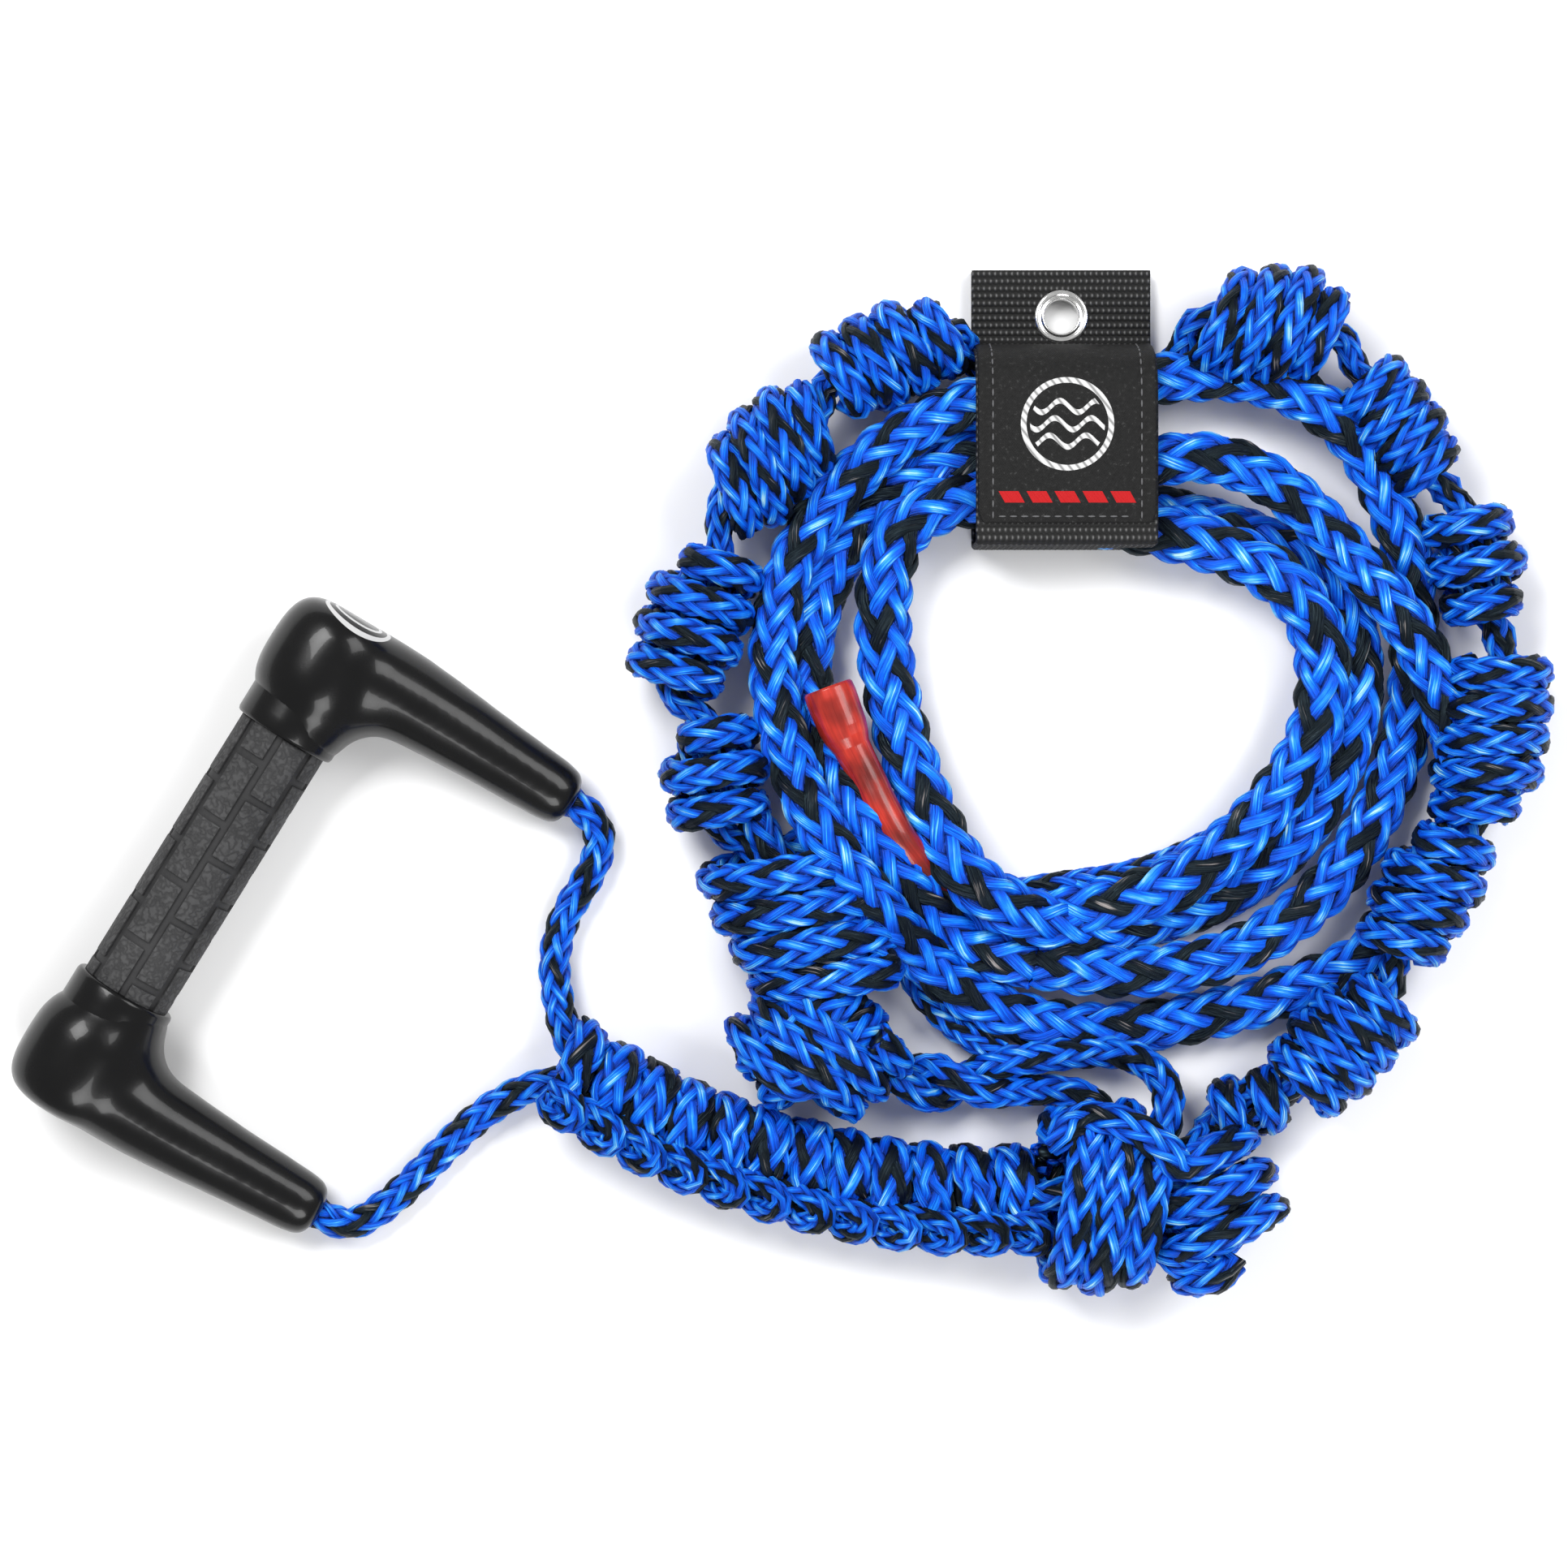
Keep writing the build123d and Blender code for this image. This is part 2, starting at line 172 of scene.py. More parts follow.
def rope_finish():
    """Glossy blue filament strands with black tracers, with light painted into their colour:
    painted shade in deep blue where a strand dives under its neighbours, and pale painted glints
    along the fibres where it comes up."""
    f = Finish("blue_rope", IOR=1.5, Specular_IOR_Level=0.36,
               Specular_Tint=(0.55, 0.85, 1.0, 1))
    along, around, _ = f.parts_of(f.coordinates("UV"))
    tone = f.attribute("tone")
    strand = f.attribute("strand")
    crown = f.attribute("crown")
    fibre = f.noise(f.vector(along * 60, around * 16, strand * 7), 1.0, 2, 0.6)
    fibre = (fibre * 2.0 - 0.5).clamped()
    patch = f.noise(f.vector(along * 130, around * 2.0, strand * 11), 1.0, 2)
    patch = (patch * 2.0 - 0.5).clamped()
    # painted light and shade: crown darkens a strand where it dives and at its edges and lightens
    # it where it comes up, fibre and patch add random tone, and the ramp's top stops are pale
    # painted glints
    light = crown * 0.42 + fibre * 0.32 + patch * 0.26
    blue = f.ramp(light, [
        (0.18, (0.0008, 0.005, 0.05, 1)), (0.36, (0.0010, 0.030, 0.36, 1)),
        (0.54, (0.0012, 0.095, 0.80, 1)), (0.66, (0.0040, 0.21, 1.0, 1)),
        (0.74, (0.060, 0.45, 1.0, 1)), (0.83, (0.52, 0.88, 1.0, 1))])
    # painted glints on the black tracers: pale where fibre, patch and crown add up, so mostly
    # where a strand comes up
    black_glint = fibre * 0.34 + patch * 0.34 + crown * 0.32
    black = f.ramp(black_glint, [(0.55, (0.0016, 0.0016, 0.0030, 1)),
                           (0.74, (0.006, 0.006, 0.009, 1)), (0.85, (0.30, 0.27, 0.26, 1))])
    f.set("Base Color", f.mix(tone, blue, black))
    f.set("Roughness", 0.60 - fibre * 0.38)
    f.set("Normal", f.bump(fibre + patch * 0.6, 0.0008, 0.9))
    return f.material


# the middle and radius of the ring printed on the upper cap, and where it stops
PRINT_X, PRINT_Z, PRINT_R, PRINT_FROM = -0.0295, 0.0225, 0.0098, 0.0705
# the webbing's spacing of ribs, and of the knots along one
RIB, KNOT = 0.0021, 0.00165


def vinyl_finish(name, printed=False):
    """Glossy black moulded vinyl with slight waves, and a plain printed ring if asked."""
    f = Finish(name, Base_Color=(0.004, 0.004, 0.0042, 1), Coat_Weight=0.16,
               Coat_Roughness=0.05, IOR=1.5, Specular_IOR_Level=0.20)
    place = f.coordinates()
    wave = f.noise(place, 34, 1.0)
    grain = f.noise(place, 900, 2)
    smear = f.noise(place, 120, 3)
    f.set("Roughness", 0.17 + smear * 0.17)
    f.set("Normal", f.bump(grain, 0.00003, 0.3, f.bump(wave, 0.0020, 0.35)))
    if printed:
        x, y, z = f.parts_of(place)
        x, z = x - PRINT_X, z - PRINT_Z
        radius = (x * x + z * z).power(0.5)
        ring = 1 - ((radius - PRINT_R).absolute() > 0.0006)
        inner = 1 - ((radius - 0.72 * PRINT_R).absolute() > 0.0005)
        f.set("Base Color", f.mix((ring + inner) * (y > PRINT_FROM), (0.004, 0.004, 0.0042, 1),
                                  grey(0.5)))
    return f.material


def rubber_finish():
    """Matt grey rubber, with a scrawled roughness on its raised blocks."""
    f = Finish("grip_rubber", Specular_IOR_Level=0.25)
    place = f.coordinates()
    rough = f.noise(place, 520, 3, 0.65)
    scrawl = (f.noise(place, 480, 1.5) - 0.5).absolute() * 7
    worn = f.noise(place, 60, 3)
    raised = f.attribute("raised")
    tone = worn * 0.35 + rough * 0.25 + scrawl.clamped() * raised * 0.25
    f.set("Base Color", f.ramp(tone, [(0.2, (0.020, 0.020, 0.021, 1)),
                                      (0.45, (0.042, 0.042, 0.043, 1)),
                                      (0.8, (0.085, 0.085, 0.087, 1))]))
    f.set("Roughness", 0.60 + rough * 0.2)
    f.set("Normal", f.bump(rough * 0.4 + scrawl.clamped() * raised * 0.8, 0.0004, 0.5))
    return f.material


def webbing_finish():
    """Black webbing: rows of ribs across, each a line of small stitches."""
    f = Finish("webbing", Specular_IOR_Level=0.35)
    across, along, _ = f.parts_of(f.coordinates("UV"))
    rib = (along * (math.pi / RIB)).sine().absolute()
    knot = (across * (TAU / 0.0016) + (along * (math.pi / RIB)).sine() * 0.8).sine()
    knot = knot * 0.5 + 0.5
    fuzz = f.noise(f.vector(across * 900, along * 900), 1.0, 3)
    height = rib * 0.7 + knot * rib * 0.5
    # lighter on the raised knots of each rib and darkest between them: painted highlight on the
    # weave, with random fuzz
    f.set("Base Color", f.ramp(knot * rib * 0.8 + fuzz * 0.3, [
        (0.25, grey(0.004)), (0.7, grey(0.022)), (1.0, grey(0.14))]))
    f.set("Roughness", 0.55 + fuzz * 0.25)
    f.set("Normal", f.bump(height + fuzz * 0.2, 0.0005, 0.8))
    return f.material


# the label's motif, from its corner: the ring's middle, radius and line, and the bars
MOTIF_X, MOTIF_Y, RING_R, LINE_HALF = 0.0249, 0.0275, 0.0122, 0.0008
BARS_Y, BARS_HALF, BAR_COUNT, BAR_SLANT = 0.0072, 0.0194, 5, 0.5556


def label_finish():
    """Dark satin label: a ring round three woven waves, over a row of red slanted bars."""
    f = Finish("label_satin", Specular_IOR_Level=0.20)
    across, along, _ = f.parts_of(f.coordinates("UV"))
    weave = (across * 9000).sine() * (along * 7000).sine()
    speck = f.noise(f.vector(across * 700, along * 700), 1.0, 3, 0.7)
    ground = f.ramp(speck, [(0.3, grey(0.003)), (0.60, grey(0.009)), (0.78, grey(0.06))])
    x, y = across - MOTIF_X, along - MOTIF_Y
    radius = (x * x + y * y).power(0.5)
    ring = 1 - ((radius - RING_R).absolute() > LINE_HALF)
    waves = None
    for number in range(3):
        swell = (across * 620 + number * 0.9).sine() * 0.0016
        line = 1 - ((y - 0.0048 + number * 0.0048 - swell).absolute() > LINE_HALF)
        waves = line if waves is None else waves + line
    motif = (ring + waves.clamped() * (1 - (radius > 0.0104))).clamped()
    slant = x + (along - BARS_Y) * BAR_SLANT
    bars = (slant * (BAR_COUNT * math.pi / BARS_HALF) + math.pi / 2).sine() > -0.62
    bars = bars * (1 - (slant.absolute() > BARS_HALF))
    red = bars * (1 - ((along - BARS_Y).absolute() > 0.0016))
    thread = ((across * 2600 + along * 2100).sine() * 0.5 + 0.5)
    white = f.ramp(thread, [(0.0, grey(0.22)), (0.5, grey(0.62))])
    f.set("Base Color", f.mix(red, f.mix(motif, ground, white), (0.42, 0.006, 0.008, 1)))
    f.set("Roughness", 0.58 + speck * 0.15)
    f.set("Normal", f.bump(weave * 0.3 + speck + (motif + red) * (thread + 0.5), 0.0002, 0.7))
    return f.material


def plain_finish(name, colour, roughness, scale, depth, **constants):
    """A simple finish with a fine grain."""
    f = Finish(name, **constants)
    grain = f.noise(f.coordinates(), scale, 3, 0.6)
    dark = tuple(0.75 * channel for channel in colour[:3]) + (1,)
    f.set("Base Color", f.mix(grain, dark, colour))
    f.set("Roughness", roughness + grain * 0.12)
    f.set("Normal", f.bump(grain, depth, 0.5))
    return f.material


def nickel_finish():
    f = Finish("nickel", Metallic=1.0)
    scratch = f.noise(f.coordinates(), 700, 3)
    f.set("Base Color", f.mix(scratch, (0.78, 0.78, 0.77, 1), (0.92, 0.92, 0.91, 1)))
    f.set("Roughness", 0.10 + scratch * 0.14)
    return f.material


def sleeve_finish():
    """Glossy red plastic, brighter where light passes its thin wall."""
    f = Finish("red_sleeve", Coat_Weight=0.3, Coat_Roughness=0.08, IOR=1.48,
               Specular_IOR_Level=0.35)
    along, around, _ = f.parts_of(f.coordinates("UV"))
    cloud = f.noise(f.vector(along * 90, around * 5), 1.0, 2)
    streak = f.noise(f.vector(along * 60, around * 40), 1.0, 3)
    tone = cloud * 0.7 + streak * 0.25 - along * 2.2
    f.set("Base Color", f.ramp(tone, [(0.25, (0.11, 0.008, 0.006, 1)),
                                      (0.40, (0.26, 0.016, 0.010, 1)),
                                      (0.52, (0.46, 0.028, 0.016, 1)),
                                      (0.66, (0.72, 0.070, 0.035, 1))]))
    f.set("Roughness", 0.20 + streak * 0.2)
    f.set("Normal", f.bump(streak + cloud * 2, 0.0003, 0.4))
    return f.material


ROPE = rope_finish()
VINYL = vinyl_finish("cap_vinyl")
PRINTED_VINYL = vinyl_finish("printed_vinyl", True)
RUBBER = rubber_finish()
WEBBING = webbing_finish()
LABEL = label_finish()
NICKEL = nickel_finish()
SLEEVE = sleeve_finish()
THREAD = plain_finish("thread", (0.10, 0.10, 0.105, 1), 0.5, 2500, 0.0001)
PILE = plain_finish("hook_and_loop", (0.02, 0.02, 0.022, 1), 0.85, 3200, 0.0006)
TUBE = plain_finish("drawn_tube", (0.72, 0.73, 0.75, 1), 0.25, 900, 0.00004, Metallic=1.0)
BUSHING = plain_finish("bushing_plastic", (0.05, 0.05, 0.055, 1), 0.45, 800, 0.00008)


# ---------------------------------------------------------------- rope making

def smooth_line(points):
    """The line of the NURBS spline that has these points as its control points."""
    curve = bpy.data.curves.new("route", "CURVE")
    curve.dimensions = "3D"
    curve.resolution_u = 14
    spline = curve.splines.new("NURBS")
    spline.points.add(len(points) - 1)
    for point, place in zip(spline.points, points):
        point.co = (*place, 1)
    spline.order_u = 3
    spline.use_endpoint_u = True
    route = bpy.data.objects.new("route", curve)
    mesh = bpy.data.meshes.new_from_object(route)
    line = np.array([tuple(vertex.co) for vertex in mesh.vertices])
    bpy.data.objects.remove(route)
    bpy.data.curves.remove(curve)
    bpy.data.meshes.remove(mesh)
    return line


def evenly(line, step):
    """The line again with its points a step apart, and how far along each one is."""
    lengths = np.linalg.norm(np.diff(line, axis=0), axis=1)
    along = np.concatenate([[0], np.cumsum(lengths)])
    places = np.linspace(0, along[-1], max(3, round(along[-1] / step) + 1))
    return np.stack([np.interp(places, along, line[:, k]) for k in range(3)], 1), places


def unit(vectors):
    return vectors / np.maximum(np.linalg.norm(vectors, axis=-1, keepdims=True), 1e-12)


def carried_frames(line):
    """A tangent and two side directions at each point, with no twist along the line."""
    tangent = unit(np.gradient(line, axis=0))
    side = np.zeros_like(line)
    first = np.cross(tangent[0], (0.0, 0.0, 1.0))
    if np.linalg.norm(first) < 1e-3:
        first = np.array([1.0, 0.0, 0.0])
    side[0] = first / np.linalg.norm(first)
    for i in range(1, len(line)):
        carried = side[i - 1] - tangent[i] * (side[i - 1] @ tangent[i])
        side[i] = carried / max(np.linalg.norm(carried), 1e-12)
    return tangent, side, np.cross(tangent, side)


def tube_faces(rings, around, start=0):
    """Quads between rings of points, and the ring index and turn of each corner."""
    i, k = np.meshgrid(np.arange(rings - 1), np.arange(around), indexing="ij")
    i, k = i.ravel(), k.ravel()
    nxt = (k + 1) % around
    quads = np.stack([i * around + k, i * around + nxt,
                      (i + 1) * around + nxt, (i + 1) * around + k], 1) + start
    rows = np.stack([i, i, i + 1, i + 1], 1)
    turns = np.stack([k, k + 1, k + 1, k], 1)
    return quads, rows, turns


def piece_of(mesh, material):
    """The object of a smooth mesh, under the mesh's name."""
    mesh.polygons.foreach_set("use_smooth", np.ones(len(mesh.polygons), bool))
    mesh.materials.append(material)
    piece = bpy.data.objects.new(mesh.name, mesh)
    bpy.context.scene.collection.objects.link(piece)
    return piece


class MeshParts:
    """Collects tubes of points into one mesh with UVs and point attributes."""

    def __init__(self):
        self.points, self.quads, self.uv = [], [], []
        self.tone, self.strand, self.crown, self.ends, self.count = [], [], [], [], 0

    def add_tube(self, rings, along, tone=0.0, strand=0.0, crown=0.0):
        """rings is (length, around, 3); along is each ring's distance."""
        length, around = rings.shape[:2]
        quads, rows, turns = tube_faces(length, around, self.count)
        self.points.append(rings.reshape(-1, 3))
        self.quads.append(quads)
        self.uv.append(np.stack([along[rows], turns / around], -1).reshape(-1, 2))
        self.tone.append(np.full(length * around, tone))
        self.strand.append(np.full(length * around, strand))
        self.crown.append((np.zeros((length, around)) + crown).ravel())
        first = np.arange(around)[::-1] + self.count
        last = np.arange(around) + self.count + (length - 1) * around
        self.ends += [first, last]
        self.count += length * around

    def build(self, name, material):
        points = np.concatenate(self.points)
        quads = np.concatenate(self.quads)
        corners = np.concatenate([quads.ravel(), *self.ends])
        sizes = np.concatenate([np.full(len(quads), 4), [len(end) for end in self.ends]])
        mesh = bpy.data.meshes.new(name)
        mesh.vertices.add(len(points))
        mesh.vertices.foreach_set("co", points.ravel())
        mesh.loops.add(len(corners))
        mesh.loops.foreach_set("vertex_index", corners.astype(np.int32))
        mesh.polygons.add(len(sizes))
        starts = np.concatenate([[0], np.cumsum(sizes)[:-1]])
        mesh.polygons.foreach_set("loop_start", starts.astype(np.int32))
        mesh.polygons.foreach_set("loop_total", sizes.astype(np.int32))
        mesh.update(calc_edges=True)
        uv = np.zeros((len(corners), 2))
        flat = np.concatenate(self.uv)
        uv[:len(flat)] = flat
        mesh.uv_layers.new(name="UVMap").data.foreach_set("uv", uv.ravel())
        for title, values in (("tone", self.tone), ("strand", self.strand),
                              ("crown", self.crown)):
            layer = mesh.attributes.new(title, "FLOAT", "POINT")
            layer.data.foreach_set("value", np.concatenate(values))
        mesh.validate()
        return piece_of(mesh, material)


# a strand's cross-section: places across it and above it, as shares of its half sizes, and the
# painted light at each place, less towards its edges
SECTION_ACROSS = np.array([1.0, 0.70, 0.0, -0.70, -1.0])
SECTION_ABOVE = np.array([-0.35, 0.55, 1.0, 0.55, -0.35])
SECTION_LIGHT = np.array([0.25, 0.85, 1.0, 0.85, 0.25])


def pressed(points, centre, tangent, press, keep):
    """Squeezes cross-sections to keep of their height along press, and widens them by as
    much as their area asks for."""
    press = unit(press - tangent * (press * tangent).sum(1, keepdims=True))
    side = np.cross(tangent, press)
    off = points - centre[:, None]
    high = (off * press[:, None]).sum(2, keepdims=True)
    wide = (off * side[:, None]).sum(2, keepdims=True)
    return (points + (keep - 1) * high * press[:, None]
            + (1 / math.sqrt(keep) - 1) * wide * side[:, None])


CARRIERS = 8                # strands each way
BLACK = (0, 3, 9, 13)       # the dark ones among both ways' strands
PITCH = 6.0                 # how far a strand runs in one turn, in diameters
STRAND_T = 0.18             # a strand's thickness, in diameters
CORE_SIDES = 8


def braided(name, line, diameter, press=None, keep=0.84, step=2.05 * MM, turn=0.0):
    """One rope of interlaced strands along a line, each over two and under two others.
    press and keep flatten the rope, and turn is where its first strand starts."""
    line, along = evenly(line, step)
    tangent, side, up = carried_frames(line)
    thick = STRAND_T * diameter
    width = 0.70 * math.pi * diameter / CARRIERS
    middle = diameter / 2 - 0.80 * thick
    parts = MeshParts()

    def add(ring, *values):
        if press is not None:
            ring = pressed(ring, line, tangent, press(line), keep)
        parts.add_tube(ring, *values)

    for way in (1, -1):
        for j in range(CARRIERS):
            theta = way * TAU * along / (PITCH * diameter) + TAU * j / CARRIERS
            out = np.cos(theta + turn)[:, None] * side + np.sin(theta + turn)[:, None] * up
            wave = way * (-1) ** j * np.cos(math.pi * CARRIERS * along / (PITCH * diameter)
                                            - way * math.pi / 4)
            centre = line + out * (middle + 0.36 * thick * wave)[:, None]
            run = unit(np.gradient(centre, axis=0))
            across = unit(np.cross(run, out))
            lift = np.cross(across, run)
            ring = (centre[:, None]
                    + across[:, None] * (width / 2 * SECTION_ACROSS)[None, :, None]
                    + lift[:, None] * (thick / 2 * SECTION_ABOVE)[None, :, None])
            number = j if way > 0 else CARRIERS + j
            # crown is painted light: high where the strand comes up over its neighbours, low
            # where it dives under them and towards its edges
            add(ring, along, float(number in BLACK), number + 0.37 * (turn % 5),
                np.outer(0.5 + 0.5 * wave, SECTION_LIGHT))
    # a black core tube under the strands: painted shade, a dark filler for the shadow seen
    # through the gaps between them
    spokes = np.arange(CORE_SIDES) * TAU / CORE_SIDES
    ring = line[:, None] + (diameter / 2 - 1.15 * thick) * (
        side[:, None] * np.cos(spokes)[None, :, None]
        + up[:, None] * np.sin(spokes)[None, :, None])
    add(ring, along, 1.0)
    return parts.build(name, ROPE), line


def flat_on_ground(line):
    return np.tile((0.0, 0.0, 1.0), (len(line), 1))


def cord(piece, nodes=()):
    """Rides a rope on the root, and hides the nodes that it stands in for."""
    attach(piece, "root")
    if nodes:
        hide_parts(*nodes)


# ---------------------------------------------------------------- routes of the ropes

def mm(*points):
    """Points given in millimetres, in metres."""
    return [tuple(MM * value for value in point) for point in points]


ROPE_D = 0.0094
BIG_ROPE_D = 0.0105
LEAD_D, THIN_D = 0.0096, 0.008
KNOT_KEEP = 0.86            # how flat a rope is pulled in a knot
UPPER_LEG = mm(
    (47.6, 68.5, 7.6), (53.2, 68.5, 6.9), (58.8, 65.3, 5.8), (62, 59, 5), (62.6, 50, 4.8),
    (62.5, 39.5, 4.8), (66, 28, 4.8), (73, 19, 5.8), (81.5, 10.5, 9.5))
LOWER_LEG = mm(
    (47.6, -68.5, 7.6), (53.2, -68.5, 6.9), (58.3, -65.6, 6), (61.6, -59.8, 5.2),
    (65, -50, 4.8), (68, -36, 4.8), (71.5, -22, 4.8), (77.5, -9.5, 5.8), (85, -1, 9.5))
WOVEN_ROUTE = mm(
    (84, 5, 13), (103, 4.5, 13), (123, 6.5, 13), (144, 11, 13), (165, 17, 13),
    (186, 25, 13), (205, 35, 13), (221, 46, 13))
TWISTED_LEAD = mm(
    (158, 48, 9), (174, 52.5, 9), (188.5, 62, 9), (202, 76, 9))
LEAD_UPPER = mm(
    (203, 79, 8), (212, 88, 8), (224, 92, 10), (233, 89, 18), (237, 80, 23), (240, 69, 20))
LEAD_LOWER = mm(
    (204, 75, 8), (214, 75, 7), (224, 72, 9), (232, 68, 14))
LEAD_THIN = mm(
    (146, 88, 6), (153, 78, 5), (165, 72.5, 5), (178, 70.5, 6), (189, 72, 8))
# x, y, heading in degrees, length, radius and turns of each knot of the outer ring
CHAIN_KNOTS = [
    (0.255, 0.096, 62, 0.025, 0.0115, 2), (0.2675, 0.125, 80, 0.041, 0.0155, 4),
    (0.266, 0.173, 98, 0.042, 0.015, 4), (0.258, 0.220, 115, 0.050, 0.0165, 5),
    (0.229, 0.260, 140, 0.036, 0.0142, 3), (0.190, 0.281, 160, 0.038, 0.0138, 4),
    (0.144, 0.286, 210, 0.040, 0.017, 4), (0.0575, 0.2225, 238, 0.041, 0.015, 4),
    (0.044, 0.181, 256, 0.040, 0.016, 4), (0.0505, 0.130, 283, 0.044, 0.016, 4),
    (0.078, 0.096, 312, 0.034, 0.016, 3),
]


def turned_axes(heading):
    angle = math.radians(heading)
    ahead = np.array([math.cos(angle), math.sin(angle), 0])
    return ahead, np.array([-ahead[1], ahead[0], 0]), np.array([0, 0, 1.0])


def wraps(centre, axes, start_x, end_x, turns, wide, high, start_angle=0.0, rng=None,
          per_turn=12, lean=0.0, barrel=0.0):
    """Control points of turns round an axis, from start_x to end_x along it. lean tips the
    turns over, and barrel is how much smaller the end turns are."""
    ahead, beside, above = axes
    grow = 1 / math.cos(math.pi / per_turn) ** 2
    result = []
    count = int(turns * per_turn)
    for i in range(count + 1):
        angle = start_angle + TAU * i / per_turn
        x = start_x + (end_x - start_x) * i / count + lean * wide * math.cos(angle)
        size = grow * (1 - barrel * (2 * i / count - 1) ** 2)
        if rng is not None:
            size *= 1 + 0.035 * rng.standard_normal()
        result.append(centre + ahead * x + size * (
            beside * wide * math.cos(angle) + above * high * math.sin(angle)))
    return result


def knot_route(x, y, heading, length, radius, turns, rng):
    """Into the knot along its middle, back round itself in turns, and out again."""
    axes = turned_axes(heading)
    ahead, beside, above = axes
    centre = np.array([x, y, radius])
    half, round_r = length / 2, radius - 0.42 * ROPE_D
    core = 0.30 * radius
    lean = rng.uniform(0.12, 0.32) * rng.choice((-1, 1))
    route = [centre - ahead * (half + 0.001),
             centre - ahead * 0.3 * half + beside * core,
             centre + ahead * 0.35 * half + beside * core,
             centre + ahead * (half - 0.004) + beside * 0.6 * round_r]
    route += wraps(centre, axes, half - ROPE_D / 2, -half + ROPE_D / 2, turns - 0.6,
                   round_r, round_r * 0.95, rng.uniform(-0.4, 0.9), rng, lean=lean,
                   barrel=0.15)
    route += [centre - ahead * (half - 0.005) - beside * 0.4 * round_r,
              centre - ahead * 0.3 * half - beside * core,
              centre + ahead * 0.35 * half - beside * core,
              centre + ahead * (half + 0.001)]
    return route


def knot_press(knots):
    """Rope is pressed flat towards the axis of the knot that it lies in."""
    middles = np.array([(k[0], k[1], k[4]) for k in knots])
    aheads = np.array([turned_axes(k[2])[0] for k in knots])
    halves = np.array([k[3] / 2 for k in knots])

    def press(line):
        off = line[:, None] - middles[None]
        run = (off * aheads[None]).sum(2)
        away = off - run[..., None] * aheads[None]
        reach = np.linalg.norm(away, axis=2) + 4 * np.maximum(np.abs(run) - halves, 0)
        near = reach.argmin(1)
        chosen = away[np.arange(len(line)), near]
        chosen[np.linalg.norm(chosen, axis=1) < 1e-4] = (0, 0, 1)
        return unit(chosen)
    return press


def chain(name, knots, lead_in, lead_out, nodes, seed):
    """A stretch of the knotted rope."""
    rng = np.random.default_rng(seed)
    route = list(lead_in)
    for knot in knots:
        route += knot_route(*knot, rng)
    route += list(lead_out)
    piece, line = braided(name, smooth_line(route), ROPE_D, press=knot_press(knots),
                          keep=KNOT_KEEP, turn=seed)
    cord(piece, nodes)


def chains():
    """The outer ring, in two stretches that meet beneath the strap."""
    chain("knotted_rope_east", CHAIN_KNOTS[:7],
          [(0.246, 0.074, 0.020), (0.250, 0.082, 0.014)],
          [(0.1265, 0.2735, 0.013), (0.1275, 0.2665, 0.010), (0.124, 0.2573, 0.0064),
           (0.1148, 0.2504, 0.0062)],
          [f"chain_knot_{i:02d}" for i in range(1, 8)]
          + [f"chain_span_{i:02d}" for i in range(2, 7)], 3)
    chain("knotted_rope_west", CHAIN_KNOTS[7:],
          [(0.1158, 0.2511, 0.0062), (0.1040, 0.2422, 0.0062), (0.0930, 0.2360, 0.0064),
           (0.0840, 0.2338, 0.0068), (0.0746, 0.2356, 0.009)],
          [(0.096, 0.086, 0.016), (0.104, 0.081, 0.018)],
          [f"chain_knot_{i:02d}" for i in range(8, 12)]
          + [f"chain_span_{i:02d}" for i in range(8, 11)], 5)


# place and heading in degrees of each big knot
STOPPER_AT, STOPPER_HEADING = (0.244, 0.060, 0.019), 32
BIG_AT, BIG_HEADING = (0.119, 0.076, 0.0185), 328
BALL_AT, BALL_HEADING = (0.143, 0.046, 0.0193), 335


def big_knot(name, route, knot, turn, node):
    """A knot of thicker rope, pressed towards the axis of the knot as a whole."""
    piece, line = braided(name, smooth_line(route), BIG_ROPE_D, press=knot_press([knot]),
                          keep=KNOT_KEEP, turn=turn)
    cord(piece, [node])


